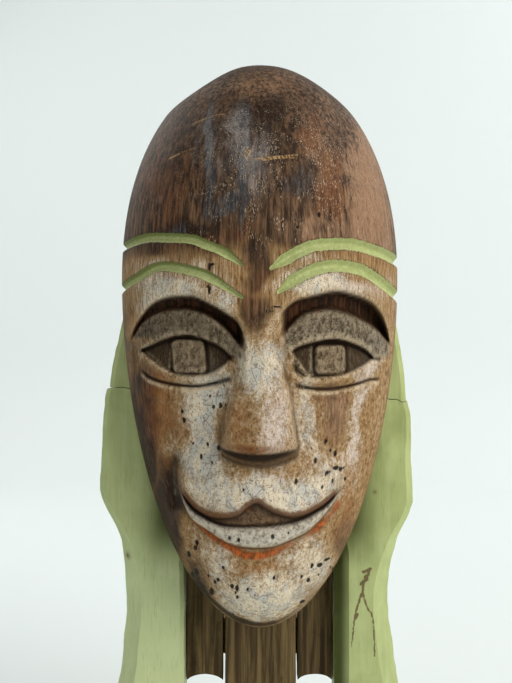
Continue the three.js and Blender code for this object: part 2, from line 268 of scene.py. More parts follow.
BROW_GROOVES = [
    [(-87, 343), (-67, 346), (-52.5, 345), (-39, 343.5), (-29.5, 340), (-19.5, 335.5), (-10, 328.5)],
    [(-87, 317), (-70.5, 323.5), (-59.5, 328.5), (-50.5, 328.5), (-41, 326.5), (-29, 322.5), (-9.5, 310.5)],
    [(6, 326.5), (15.5, 332.5), (27, 338.5), (38, 340.5), (51.5, 341), (62.5, 339.5), (87, 334)],
    [(10, 313.5), (19, 320.5), (28.5, 325.5), (39.5, 328.5), (51.5, 328), (62.5, 325), (87, 312)],
]
MOUTH_HALF = 47.0
MOUSTACHE = [(-47, 203), (-41.5, 197), (-35, 192), (-27, 189), (-18.5, 189), (-12, 191), (-7.5, 195)]
MOUSTACHE += [(-2, 198), (3.5, 195), (9, 192), (18, 189.5), (27.5, 191), (37, 195.5), (47, 203.5)]
LIP_TOP = [(-47, 202.7), (-40, 193), (-32, 188), (-23.5, 184.5), (-14, 183.5), (0, 184), (13.5, 185)]
LIP_TOP += [(25, 187.5), (37.5, 194), (47, 203)]
LIP_BOTTOM = [(-47, 202), (-43, 192.5), (-38, 185.5), (-28.5, 180), (-19, 174.5), (-11.5, 172), (0, 171.5)]
LIP_BOTTOM += [(9, 172.5), (18.5, 176), (28, 180.5), (37.5, 189.5), (47, 202)]
# The nose, from its base up: height, left foot, left edge of the front plane, right edge of it, right foot
NOSE = [(212, -23, -20, 19.2, 21.5), (226, -22.8, -20, 19.6, 22), (245, -20.3, -15.3, 16.6, 19.6)]
NOSE += [(262, -17.5, -9.8, 13.5, 17), (285, -12.5, -7.5, 5.5, 9.5), (300, -10.5, -6, 7, 10.5)]
NOSE += [(316, -11, -6, 8, 12)]
SMILE = [(-46.5, 229), (-49, 216), (-50, 203), (-48.5, 193)]
GLEAM = [(-49.4, 214), (-49.8, 206), (-49.2, 198)]
WORM_HOLES = [
    (-28, 256), (-26, 250), (-22, 251), (-19, 251.5), (-44, 247), (-43, 242), (-38, 229), (-29.5, 229),
    (-23, 227), (-27, 219), (40, 225), (43, 223), (37, 212), (41, 208), (46, 214), (48, 214.5), (35, 205),
    (20, 209), (-9, 205), (-36, 171), (-37, 168), (-30, 151), (-26, 148), (-16, 147), (-14, 143),
    (-13, 140), (30, 158), (34, 151), (24, 152), (28, 149), (42, 153), (44, 150), (38, 136), (-20, 262),
    (49, 208), (31, 220), (-7, 146), (8, 153), (33, 357), (20.5, 349.5), (-12, 176), (7, 178), (16, 180),
    (-17, 177), (37, 230), (29, 227), (-21, 158),
]  # fmt: skip

# Soft spots of colour on the face: x, z, half width, half height and strength
SPOTS = {
    "chalk": [
        (-1, 273, 10, 23, 1.0), (10, 242, 9, 20, 0.75), (-31, 254, 13, 18, 1.15), (-33, 228, 15, 18, 1.15),
        (-25, 203, 24, 14, 1.0), (20, 204, 24, 13, 1.0), (0, 211, 20, 8, 1.1), (27, 246, 7, 24, 0.7),
        (40, 219, 12, 13, 0.7), (54, 240, 6, 34, 0.9), (62, 276, 5, 15, 0.9), (2, 139, 26, 15, 1.0),
        (-26, 160, 13, 15, 0.8), (27, 158, 17, 18, 0.7), (-17, 311, 11, 7, 0.75), (30, 334, 18, 5, 0.9),
        (38, 318, 32, 7, 0.9), (4, 299, 7, 7, 0.6), (-67, 286, 9, 3.5, 1.0), (-19, 262, 5, 9, 0.7),
        (-30, 265.5, 22, 2, 0.5), (68, 285, 5, 8, 0.7), (-50, 317, 24, 9, 0.9), (-47, 335, 28, 8, 1.15),
        (-46, 272, 18, 5, 0.5),
    ],
    "varnish": [
        (-70, 235, 12, 50, 1.0), (-55, 186, 11, 36, 1.0), (-38, 144, 11, 22, 0.85), (50, 158, 8, 34, 0.6),
        (14, 116, 20, 6, 0.6), (-8, 116, 22, 8, 0.85), (-20, 236, 4, 20, 0.4), (63, 215, 5, 40, 0.3),
        (0, 332, 9, 18, 0.95), (0, 307, 9, 11, 0.8), (-79, 290, 6, 40, 0.6), (42, 245, 10, 18, 0.7),
        (-50, 245, 7, 14, 0.4), (-5, 244, 5, 14, 0.3),
    ],
    "rust": [
        (-59, 250, 11, 26, 1.0), (-57, 180, 10, 36, 0.9), (-50, 318, 26, 9, 0.2), (-52, 336, 18, 6, 0.3),
        (30, 402, 7, 14, 1.0), (37, 380, 8, 20, 1.0), (44, 362, 6, 12, 0.8), (-11, 246, 8, 20, 0.7),
        (2, 318, 12, 12, 0.5), (-54, 210, 6, 24, 0.8), (-54, 378, 15, 42, 0.5), (-8, 346, 9, 7, 0.5),
        (0, 230, 20, 3.5, 0.7), (50, 190, 7, 24, 0.7), (-43, 247, 9, 12, 0.6), (0, 158, 19, 4, 0.8),
        (-24, 346, 7, 5, 0.8),
    ],
    "blue": [
        (-28, 392, 4.5, 36, 1.0), (-9, 376, 2.6, 28, 1.0), (-18, 363, 9, 7, 1.0), (-9, 415, 5, 12, 0.7),
        (20, 376, 9, 10, 0.6), (-50, 349, 16, 3.5, 0.8), (-24, 404, 9, 10, 0.6), (-37, 395, 4, 18, 0.5),
    ],
    # frost: where the speckled grey bloom and its painted sheen lie
    "frost": [
        (-28, 402, 6, 20, 0.9), (-11, 400, 6, 22, 0.9), (-19, 388, 12, 12, 0.6), (33, 392, 9, 22, 0.6),
        (8, 428, 10, 6, 0.6), (-4, 386, 11, 22, 0.9),
    ],
    "deep": [
        (2, 412, 9, 16, 1.0), (18, 402, 3, 16, 0.9), (9, 398, 14, 10, 0.7), (-48, 400, 9, 24, 0.6),
        (-40, 352, 24, 5, 1.0), (-16, 385, 6, 30, 0.6), (13, 372, 14, 8, 0.5), (-62, 186, 17, 50, 1.3),
        (-70, 235, 7, 34, 0.8), (-44, 143, 10, 18, 0.9), (4, 302, 14, 6, 0.6), (-3, 330, 8, 16, 0.6),
    ],
    # pale: paler wood; at the crown and on the right side partly painted light
    "pale": [
        (9, 242, 10, 24, 1.0), (65, 365, 15, 58, 1.0), (62, 322, 16, 26, 0.9), (36, 350, 18, 9, 0.6),
        (2, 437, 22, 9, 0.5), (57, 235, 12, 60, 0.9), (43, 245, 12, 24, 0.6), (-30, 437, 18, 8, 0.3),
        (40, 424, 9, 12, 0.3),
    ],
}  # fmt: skip
# Chips in the surface: x, z, half width and half height
CHIPS = [
    (-28, 327.4, 0.8, 2.2), (-26.6, 329, 1.8, 0.7), (-27.8, 315, 0.8, 2.4), (-28.4, 317, 1.5, 0.8),
    (43, 215, 2.2, 1.2), (38, 213, 1.8, 0.9), (34.5, 157.5, 1.8, 1.4), (39, 160, 2.3, 0.9),
    (-40, 148, 1.2, 2.4), (9, 305.6, 5.0, 0.5), (-36, 171.5, 1.0, 1.6), (-13, 146, 1.0, 2.3),
    (-33, 222, 0.8, 1.6), (-28, 141, 1.4, 2.6), (-37, 152, 1.3, 2.2), (-41, 163, 1.2, 2.0),
    (-24, 150, 1.0, 1.2), (25, 134, 1.6, 1.3), (5, 303, 3.2, 0.7),
]  # fmt: skip
STAIN = [(-42, 192), (-33, 181.5), (-18, 171.5), (-7, 166), (9, 168.5), (28, 177.5), (38, 185), (46, 194)]
# A darker band along the lower rim of the jaw and chin
JAW_RIM_LINE = [(-47, 172), (-41, 156), (-33, 140), (-23, 129), (-11, 122), (3, 120), (16, 124), (28, 135)]
JAW_RIM_LINE += [(38, 150)]
# How strong they are, by how far along
STAIN_STRENGTH = [(0, 0.3), (0.1, 0.8), (0.35, 1.1), (0.55, 1.0), (0.68, 0.5), (0.78, 1.1), (0.9, 0.6)]
STAIN_STRENGTH += [(1, 1.0)]
JAW_RIM_STRENGTH = [(0, 0.5), (0.3, 0.9), (0.5, 1.0), (0.6, 0.9), (0.8, 0.6), (1, 0.4)]
FOREHEAD_SCRATCHES = [
    [(-4, 387.4), (4, 388.6), (21.5, 390.6)],
    [(1, 386.6), (9, 388), (19, 388.6)],
    [(-9, 393), (-7, 391.4), (-9, 389.8), (-6.5, 388)],
    [(-7.5, 394.5), (-5.5, 392), (-7.5, 387.4)],
    [(-39, 411), (-27, 415), (-20, 415.6)],
    [(-52, 391), (-44, 394), (-36, 396)],
]


def nose_ends(x):
    """The heights of the front plane's lower edge and of the underside's root: both sag, the root more."""
    sideways = np.clip(np.abs(x) / 21, 0, 1) ** 2
    return 226.3 + 2.0 * sideways, 218.2 + 5.6 * sideways


def nose_relief(x, z):
    """A wedge: a front plane with a soft ridge down its middle, steep flanks and a crisp lower edge."""
    heights, *edges = np.array(NOSE, float).T
    left_foot, left, right, right_foot = (np.interp(z, heights, edge) for edge in edges)
    flanks = np.minimum(rise(-0.2, 1.0, (x - left_foot) / (left - left_foot)), rise(right_foot, right, x))
    middle = 0.55 * left + 0.45 * right + 2.5
    roof = 1 - 0.30 * np.abs(x - middle) / np.where(x > middle, right - middle, middle - left)
    roof = np.where(np.abs(x - middle) < 2.5, np.minimum(roof, 0.955), roof)
    crest = 3.0 + 16.5 * np.clip((302 - z) / 78, 0, 1) ** 1.1
    edge, root = nose_ends(x)
    under = np.clip((z - root) / (edge - root), 0, 1) ** 0.8
    return crest * flanks * np.clip(roof, 0.6, 1) * under * (1 - rise(290, 316, z))


def eye_relief(x, z, eye):
    """Minus the depth cut away around one eye, and the masks of its parts for the material."""
    brow, fold = height_of(eye["brow"], x), height_of(eye["fold"], x)
    upper, lower = height_of(eye["upper"], x), height_of(eye["lower"], x)
    crease = height_of(eye["crease"], x)
    reach = np.abs(x - eye["middle"])
    window = rise(eye["half"] + 1.5, eye["half"] - 3.0, reach)
    almond_ends = rise(eye["half"] - 4.5, eye["half"] - 8, reach)
    across = (x - eye["middle"]) / eye["half"]
    hollow = eye["hollow"] * (1 + eye["deeper"] * across)

    def below(edge, width):
        return rise(edge + 0.3, edge - width, z)

    socket = below(brow, 2.4)
    lid = below(fold + 1.2, 3.4)
    cut = hollow * socket - (hollow - 3.8) * lid
    cut -= 1.6 * np.sin(math.pi * np.clip((fold - z) / np.maximum(fold - upper, 1), 0, 1)) * lid
    ball = below(upper, 1.6) - below(lower + 1.0, 1.8)
    ball_high = np.clip((z - lower) / np.maximum(upper - lower, 1), 0, 1)
    cut += (2.6 + 4.0 * ball_high) * ball * almond_ends
    x0, x1, z0, z1 = eye["pupil"]
    leaning = x + eye["lean"] * (z - z0)
    beside_x = np.abs(leaning - (x0 + x1) / 2) - (x1 - x0) / 2 + 3
    beside_z = np.abs(z - (z0 + z1) / 2) - (z1 - z0) / 2 + 3
    beside = np.hypot(np.maximum(beside_x, 0), np.maximum(beside_z, 0)) - 3
    beside = beside + np.minimum(np.maximum(beside_x, beside_z), 0)
    pupil = rise(0.8, -0.9, beside)
    cut -= (2.4 + 1.4 * ball_high) * pupil * ball
    cut += 1.1 * hump(beside - 1.3, 0.9) * ball
    crease_ends = rise(eye["half"] - 6, eye["half"] - 10, reach)
    cut += (2.0 * hump(z - crease, 1.0) - 1.1 * hump(z - crease + 2.4, 1.5)) * crease_ends
    cut -= 1.2 * hump(z - lower + 2.2, 1.6) * almond_ends
    cut -= 3.8 * rise(crease + 3, crease - 12, z)
    # Painted highlights: the lit lower edge of the crease under the eye, the lit lower lid edge and the ridges
    # beside the pupil
    light = 0.8 * hump(z - crease + 2.2, 1.0) * crease_ends + 0.6 * hump(z - lower + 0.4, 0.8) * almond_ends
    for ends, width, height in eye["ridges"]:
        distance = near(ends, x, z)[0]
        cut -= height * rise(width, width * 0.3, distance) * ball
        light = np.maximum(light, 0.22 * height * rise(width, width * 0.4, distance) * ball)
    # Painted shade in the line under the upper lid and in the crease below the eye
    line = np.maximum(hump(z - upper + 1.0, 1.2) * almond_ends, 0.8 * hump(z - crease, 0.75) * crease_ends)
    masks = {
        "lid": below(fold + 0.5, 2.5) * (1 - below(upper + 0.4, 1.0)) * window,
        # painted highlight on the lid's lit lower edge
        "lid_edge_highlight": rise(upper + 5.5, upper + 1.0, z) * below(fold, 2.0) * window,
        # painted shade at the top of the lid under the fold, and with lid_shade over the whole lid
        "lid_top_shade": np.maximum(rise(fold - 5.0, fold - 0.5, z), eye["lid_shade"]) * window,
        # painted shadow under the brow ledge, down to the lid's fold
        "under": below(brow, 1.2) * (1 - below(fold - 0.5, 3.0)) * window,
        "line": line * window,
        "ball": ball * (1 - 0.75 * pupil) * almond_ends * window,
        "pupil": ball * pupil * window,
        # painted shade in the groove around the pupil
        "pupil_groove_shade": hump(beside - 1.1, 0.8) * ball * (0.55 + 0.45 * ball_high),
        "light": light * window,
    }
    return -cut * window, masks


def mouth_relief(x, z):
    """How far the muzzle and the lips stand out, and the masks of their parts for the material."""
    moustache, top, bottom = height_of(MOUSTACHE, x), height_of(LIP_TOP, x), height_of(LIP_BOTTOM, x)
    reach = np.abs(x)
    window = rise(MOUTH_HALF + 1, MOUTH_HALF - 6, reach)
    muzzle = 4.6 * np.maximum(1 - (x / 53) ** 2, 0) ** 0.7 * rise(238, 214, z)
    above = rise(moustache - 1.8, moustache + 0.6, z)
    outside = rise(MOUTH_HALF - 3, MOUTH_HALF + 8, reach) * rise(150, 196, z)
    out = muzzle * np.maximum(above, outside * 0.8)
    upper_lip = (1 - above) * rise(top - 0.8, top + 0.6, z)
    out -= 2.2 * upper_lip * window * np.clip((z - top) / np.maximum(moustache - top, 1.5), 0, 1)
    band = np.clip((z - bottom) / np.maximum(top - bottom, 1.2), 0, 1)
    inside = rise(bottom - 0.9, bottom + 1.1, z) * (1 - rise(top - 1.1, top + 0.9, z))
    out += 3.2 * np.sin(math.pi * band) ** 0.5 * inside * window
    out -= 1.6 * hump(z - top, 1.2) * window
    below = rise(bottom + 0.2, bottom - 1.8, z) * rise(bottom - 18, bottom - 3, z)
    out -= 3.0 * below * window
    corner = rise(MOUTH_HALF + 6, MOUTH_HALF - 4, reach)
    stain_distance, along, _ = near(curve(STAIN), x, z)
    strength = np.interp(along, *zip(*STAIN_STRENGTH))
    stain = strength * rise(5.2, 0.4, stain_distance) * rise(0.6, -0.4, z - bottom)
    masks = {
        "lip": inside * window,
        "upper_lip": upper_lip * window,
        # painted shade in the line between the lips and under the muzzle's edge
        "lip_line_shade": np.maximum(0.9 * hump(z - top, 0.9), 0.35 * hump(z - moustache + 0.9, 1.1)) * window,
        "lip_edge": np.maximum(hump(z - moustache - 0.9, 3.2), 0.8 * hump(z - bottom + 1.0, 1.2)) * window,
        "stain": np.maximum(stain, 0.8 * hump(np.hypot((x + 6) / 1.5, z - 193.5), 2.2)) * corner,
    }
    return out, masks


def spots(name, x, z):
    """How strongly each place is covered by the soft spots of one colour."""
    covers = [
        strength * rise(1.75, 0.2, np.hypot((x - middle_x) / wide, (z - middle_z) / tall))
        for middle_x, middle_z, wide, tall, strength in SPOTS[name]
    ]
    return np.maximum.reduce(covers)


def carve(x, z):
    """How far the carving stands out at each point of the front view, and the masks its material uses."""
    out = nose_relief(x, z)
    masks = {}
    for eye in EYES:
        relief, found = eye_relief(x, z, eye)
        out = out + relief
        for name, value in found.items():
            masks[name] = np.maximum(masks.get(name, 0), value)
        ridge = height_of(eye["brow"], x) + 4.5
        beside = rise(eye["half"] + 4, eye["half"] - 8, np.abs(x - eye["middle"]))
        out = out + 1.3 * hump(z - ridge, 4.0) * beside
    relief, found = mouth_relief(x, z)
    out = out + relief
    masks.update(found)
    beside_nose = rise(14, 26, np.abs(x)) * rise(72, 50, np.abs(x))
    out = out - 4.0 * beside_nose * rise(206, 226, z) * rise(272, 256, z)
    distance, along, _ = near(curve(SMILE), x, z)
    smile = hump(distance, 4.2) * rise(0, 0.3, along)
    out = out - 4.0 * smile
    out = out + 2.0 * hump(np.hypot(x / 24, (z - 145) / 15), 1.0)
    chips = closest(np.hypot((x - cx) / wide, (z - cz) / tall) for cx, cz, wide, tall in CHIPS)
    out = out - 0.9 * rise(1.4, 0.7, chips)
    masks["chip"] = chips
    distance, along, _ = near(curve(JAW_RIM_LINE), x, z)
    masks["jaw_rim_dark"] = np.interp(along, *zip(*JAW_RIM_STRENGTH)) * hump(distance, 3.8)
    # The smile crease's mask also carries painted shade in the material
    masks["smile"] = smile
    # A painted highlight streak down the smile crease
    masks["light"] = np.maximum(masks["light"], 0.7 * hump(near(GLEAM, x, z)[0], 0.7))
    # Painted shade on the nose's underside, darkest near its root
    edge, root = nose_ends(x)
    beneath = rise(edge + 1.3, edge - 1.3, z) * rise(root - 2.0, root + 0.5, z) * rise(23.5, 20.5, np.abs(x))
    masks["nose_underside_shade"] = beneath
    masks["nose_dark_shade"] = beneath * rise(root + 1.5, root + 5.0 + 0.06 * x, z)
    masks["nose_edge"] = hump(z - edge - 2.4, 2.4) * rise(24, 20, np.abs(x)) * (0.45 + 0.55 * hump(x + 4, 9))
    return out, masks


def groove_reach(x, z):
    """The distance to the nearest brow groove, over its half width, and the painted shade on its upper,
    downward-facing facet.
    """
    reach, upper = np.full(x.shape, FAR), np.zeros(x.shape)
    for points in BROW_GROOVES:
        distance, along, side = near(curve(points), x, z)
        is_left = points[0][0] < -20
        inner = 1 - along if is_left else along
        half = (2.4 if is_left else 3.0) * np.minimum(1, 0.3 + 5.0 * inner)
        closer = distance / half < reach
        reach = np.where(closer, distance / half, reach)
        upper = np.where(closer, rise(0.3, 1.6, side * distance) * (1 if is_left else 0.4), upper)
    return reach, upper


def blurred(values, steps):
    """A grid's values, each averaged with its neighbours."""
    for _ in range(steps):
        padded = np.pad(values, 1, mode="edge")
        values = (padded[:-2, 1:-1] + padded[2:, 1:-1] + padded[1:-1, :-2] + padded[1:-1, 2:] + values) / 5
    return values


def colour_zones(x, z):
    """Where the wood is varnished, whitewashed or stained, and where it is paler: partly from wear, and at the
    crown and on the right side partly painted light.
    """
    drift = 4.5 * lattice(x, z, 17, 31) + 2.5 * lattice(x, z, 7, 32)
    lift = 7.0 * lattice(x, z, 21, 33) + 3.0 * lattice(x, z, 8, 34)
    zones = {name: spots(name, x + drift, z + lift) for name in SPOTS}
    forehead = rise(324, 352, z + lift)
    zones["varnish"] = np.maximum(zones["varnish"], forehead)
    zones["forehead"] = forehead * (0.25 + 0.75 * rise(-46, -20, x)) * rise(434, 415, z)
    zones["chalk_lid"] = rise(-58, -64, x) * rise(290, 287, z)
    zones["upper"] = rise(292, 306, z + 0.5 * lift)
    zones["chalk"] = (0.42 + 0.58 * zones["chalk"]) * (1 - forehead)
    zones["chalk"] = zones["chalk"] * (1 - 0.85 * zones["varnish"]) * (1 - 0.3 * zones["rust"])
    zones["scratch"] = closest(near(curve(points, 4), x, z)[0] for points in FOREHEAD_SCRATCHES)
    return zones


def face_front():
    """The carved front as grids of x, out and z, with the values that its material reads."""
    across, up = GRID
    u, v = np.meshgrid(np.linspace(-1, 1, across + 1), np.linspace(-1, 1, up + 1), indexing="ij")
    u = u * (0.86 + 0.14 * u * u)
    v = v + 0.2 * (v * v - 1)
    sx, sz = disc_points(u, v)
    x, out, z = egg(sx, sz, CROWN, CHIN, HALF_WIDTH, DEPTH, EDGE_WALL)
    radius = np.hypot(sx, sz)
    inwards = rise(1.0, 0.93, radius)

    # Grooves and unevenness follow the surface's own direction, so that they reach the outline.
    tall = np.where(z > WIDEST, CROWN - WIDEST, WIDEST - CHIN)
    normal = np.stack([x / HALF_WIDTH**2, -out / DEPTH**2, (z - WIDEST) / tall**2], axis=-1)
    normal /= np.linalg.norm(normal, axis=-1, keepdims=True)
    reach, upper_facet_shade = groove_reach(x, z)
    groove = np.maximum(1 - reach, 0) * 2.6 + 0.4 * rise(1.15, 0.9, reach)
    uneven = 0.55 * lattice(x, z, 21, 3) + 0.3 * lattice(x, z, 9, 4) + 0.1 * lattice(x, z, 3.2, 5)
    relief, masks = carve(x, z)
    sizes = [0.65, 0.85, 1.05]
    holes = closest(np.hypot(x - hx, (z - hz) / 1.5) / sizes[k % 3] for k, (hx, hz) in enumerate(WORM_HOLES))
    shift = uneven * inwards - groove - 0.9 * hump(holes, 1.1)
    x, out, z = x + normal[..., 0] * shift, out - normal[..., 1] * shift, z + normal[..., 2] * shift
    out = out + relief * rise(1.0, 0.86, radius)
    out = np.maximum(out, EDGE_WALL)
    out[[0, -1], :] = EDGE_WALL
    out[:, [0, -1]] = EDGE_WALL

    masks.update(colour_zones(x, z))
    masks["groove"] = reach
    masks["groove_upper_shade"] = upper_facet_shade
    masks["hole"] = holes
    # Painted shade where the carving lies lower than its surroundings, and a painted highlight where it stands
    # higher
    masks["recess_shade"] = np.clip((blurred(relief, 12) - relief) / 2.2, 0, 1) * inwards
    masks["edges"] = np.clip((relief - blurred(relief, 5)) / 0.7, 0, 1) * inwards
    # The outline band, which the material darkens as painted shade
    masks["rim"] = rise(0.955, 0.995, radius)
    return x, out, z, masks


def face_mesh(material):
    """The carved front, its plain rim, and the gouged hollow behind."""
    x, out, z, masks = face_front()
    number = np.arange(x.size).reshape(x.shape)
    corners = [number[:-1, :-1], number[1:, :-1], number[1:, 1:], number[:-1, 1:]]
    quads = np.stack(corners, axis=-1).reshape(-1, 4)
    edge = np.concatenate([number[:-1, 0], number[-1, :-1], number[:0:-1, -1], number[0, :0:-1]])
    ex, ez = x.ravel()[edge], z.ravel()[edge]
    sz = np.clip((ez - WIDEST) / np.where(ez > WIDEST, CROWN - WIDEST, WIDEST - CHIN), -1, 1)
    sx = np.sign(ex) * np.sqrt(np.maximum(1 - sz * sz, 0))

    loops, points = [edge], [at(x, out, z).reshape(-1, 3)]
    count = x.size

    def add_loop(lx, lout, lz):
        nonlocal count
        points.append(at(lx, lout, lz))
        loops.append(np.arange(count, count + len(edge)))
        count += len(edge)

    add_loop(ex, np.full(ex.shape, 1.0), ez)
    add_loop(ex * 0.994, np.full(ex.shape, GAP), WIDEST + (ez - WIDEST) * 0.997)
    steps = 12
    for k in range(steps):
        r = math.cos(math.pi / 2 * k / steps)
        hx, hout, hz = egg(sx * r, sz * r, **HOLLOW)
        gouge = 1.6 * np.abs(lattice(hx, hz / 2.6, 7, 11)) * min(1, k / 2)
        add_loop(hx, hout + GAP + gouge, hz)
    points.append(at(0, HOLLOW["depth"] + 1, WIDEST).reshape(1, 3))
    faces = [tuple(q) for q in quads] + [tuple(q) for q in strip_faces(loops)]
    last = loops[-1]
    faces += [(b, a, count) for a, b in zip(last, np.roll(last, -1))]
    points = np.concatenate(points)
    piece = new_piece("carved_face_skin", points, faces, material, "carved_face")
    behind = count + 1 - x.size
    for name, values in masks.items():
        fill = FAR if name in ("groove", "scratch", "chip", "hole") else 0.0
        add_values(piece, name, np.concatenate([values.ravel(), np.full(behind, fill)]))
    inside = np.concatenate([np.zeros(x.size), np.ones(behind)])
    inside[x.size : x.size + len(edge)] = 0.3
    add_values(piece, "inside", inside)


# ---- Posts, upper blocks, boards and battens ----
FLOOR_REACH = (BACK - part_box("left_post")[0][1]) / MM  # how far in front of the face's back the feet reach
POSTS = {
    "left": {
        "side": -1,
        "seam": 257.5,
        "edge": [(0, 100), (20, 97.5), (45, 92), (77, 87.2), (88, 85.9), (104, 84.7), (113, 83.6)]
        + [(130, 83.4), (147, 84), (156, 85.3), (165, 87.2), (174, 90.9), (182.5, 95.9), (191, 99.1), (200, 99.7)]
        + [(226, 98.4), (244, 97.2), (252, 96.6), (257.5, 95.4)],
        "upper": [(257.5, 93.6), (270, 92.2), (279, 90.3), (296, 86.6), (346, 75.5), (350, 71)],
    },
    "right": {
        "side": 1,
        "seam": 250.0,
        "edge": [(0, 99), (20, 97), (45, 91.4), (77, 85.7), (86, 84), (104, 82.3), (113, 81), (130, 80.4)]
        + [(147.5, 82.2), (156, 84), (165, 86.6), (174, 90.9), (182.5, 94.7), (191, 95.8), (226, 95.3)]
        + [(244, 94), (250, 92.9)],
        "upper": [(250, 92.2), (261, 91.6), (270, 90.3), (279, 89), (296, 85.9), (346, 74.8), (350, 70)],
    },
}
POST_INNER = 47.6  # from the middle to a post's inner side
ARCH_RISE = 5.5  # how much higher the middle of a side board's lower end is than its corners
SEAM_GAP = 0.55  # between a post and its upper block


def rounded_section(corners, counts):
    """A closed outline with so many steps along each side, as (x, out) pairs and the sides' numbers."""
    points, sides = [], []
    for k, (start, end) in enumerate(zip(corners, corners[1:] + corners[:1])):
        for t in np.arange(counts[k]) / counts[k]:
            points.append([start[0] + (end[0] - start[0]) * t, start[1] + (end[1] - start[1]) * t])
            sides.append(k)
    return np.array(points), np.array(sides)


def post_loops(spec, side, lower, upper, rows):
    """Rings of points from the bottom up, for a post or its upper block."""
    outline = curve(spec, 12)
    heights = np.linspace(lower, upper, rows)
    widths = np.interp(heights, outline[:, 0], outline[:, 1])
    rings = []
    for z, outer in zip(heights, widths):
        outer += float(rise(205, 185, z))
        flare = max(0.0, 1 - z / 78)
        front = -GAP + FLOOR_REACH * flare * flare
        inner_cut = (8.5 if side > 0 else 2.5) * (1 - 0.8 * float(rise(150, 185, z)))
        outer_cut = 10.5 - 6.0 * float(rise(120, 185, z)) - 1.5 * float(rise(200, 250, z))
        corners = [
            (POST_INNER, front - inner_cut),
            (POST_INNER + inner_cut, front),
            (outer - outer_cut, front),
            (outer, front - outer_cut),
            (outer, PANEL_BACK + 2),
            (outer - 2, PANEL_BACK),
            (POST_INNER + 2, PANEL_BACK),
            (POST_INNER, PANEL_BACK + 2),
        ]
        points, sides = rounded_section(corners, [6, 30, 6, 12, 2, 10, 2, 9])
        rings.append((z, points, sides))
    return rings


def seam_wave(side, x):
    """How far the joint line between a post and its upper block wanders up or down."""
    if side < 0:
        return 0.5 * np.sin(x * 0.23) + 0.25 * np.sin(x * 0.9)
    return 0.9 * np.sin(x * 0.33) + 0.5 * np.sin(x * 0.81 + 1)


def post_piece(which, level, material):
    """A post or its upper block, with a hand-worked surface."""
    spec = POSTS[which]
    side, seam = spec["side"], spec["seam"]
    seed = 20 + side
    if level == "post":
        rings = post_loops(spec["edge"], side, 0, seam - SEAM_GAP / 2, 260)
        node, name = f"{which}_post", f"{which}_post_carved"
    else:
        rings = post_loops(spec["upper"], side, seam + SEAM_GAP / 2, 350, 70)
        node, name = f"{which}_upper_block", f"{which}_upper_block_carved"
    solid = []
    for z, section, sides in rings:
        x, out = section[:, 0], section[:, 1]
        middle_x, middle_out = (POST_INNER + x.max()) / 2, (PANEL_BACK + out.max()) / 2
        away = np.stack([x - middle_x, out - middle_out], axis=-1)
        away /= np.maximum(np.abs(away).max(axis=-1, keepdims=True), 1e-6)
        turn = np.arctan2(away[:, 1], away[:, 0]) * 14
        level_z = np.full(turn.shape, z)
        wave = 0.45 * lattice(turn, level_z, 13, seed) + 0.22 * lattice(turn, level_z, 5, seed + 5) + 0.1
        keep = np.where(sides >= 5, 0.25, 1.0) * float(rise(0, 6, z))
        x, out = x + away[:, 0] * wave * keep, out + away[:, 1] * wave * keep
        near_seam = float(rise(30, 0, abs(z - seam)))
        height = z + seam_wave(side, x) * near_seam
        if which == "right":
            out = out + 1.6 * hump(np.hypot(x - 80, z - 217), 6.0) * (out > -14)  # a knot under the paint
        solid.append(at(side * x, out, height))
    if side > 0:
        solid = [ring[::-1] for ring in solid]
    points, faces = closed_tube(solid)
    return new_piece(name, points, faces, material, node)


def bore(piece, screw):
    """Cuts the wide hole behind a screw's head out of a post or upper block."""
    low, high = box_mm(screw)
    radius, start, end = (high[2] - low[2]) / 2 + GAP, high[1] - GAP, BACK / MM - PANEL_BACK + 4
    form = bmesh.new()
    shape = {"segments": 28, "radius1": radius, "radius2": radius, "depth": end - start}
    bmesh.ops.create_cone(form, cap_ends=True, matrix=Matrix.Rotation(math.pi / 2, 4, "X"), **shape)
    for vertex in form.verts:
        vertex.co += Vector(((low[0] + high[0]) / 2, (start + end) / 2, (low[2] + high[2]) / 2))
        vertex.co *= MM
    mesh = bpy.data.meshes.new("cutter")
    form.to_mesh(mesh)
    form.free()
    cutter = add_object("cutter", mesh)
    cut = piece.modifiers.new("bore", "BOOLEAN")
    cut.operation, cut.object, cut.solver = "DIFFERENCE", cutter, "EXACT"
    bored = bpy.data.meshes.new_from_object(piece.evaluated_get(bpy.context.evaluated_depsgraph_get()))
    piece.modifiers.clear()
    piece.data = bored
    bpy.data.objects.remove(cutter)


def shade_by_angle(piece, degrees):
    """Smooth faces, with edges sharper than the angle kept crisp."""
    form = bmesh.new()
    form.from_mesh(piece.data)
    for edge in form.edges:
        edge.smooth = not edge.is_manifold or edge.calc_face_angle(0) < math.radians(degrees)
    form.to_mesh(piece.data)
    form.free()


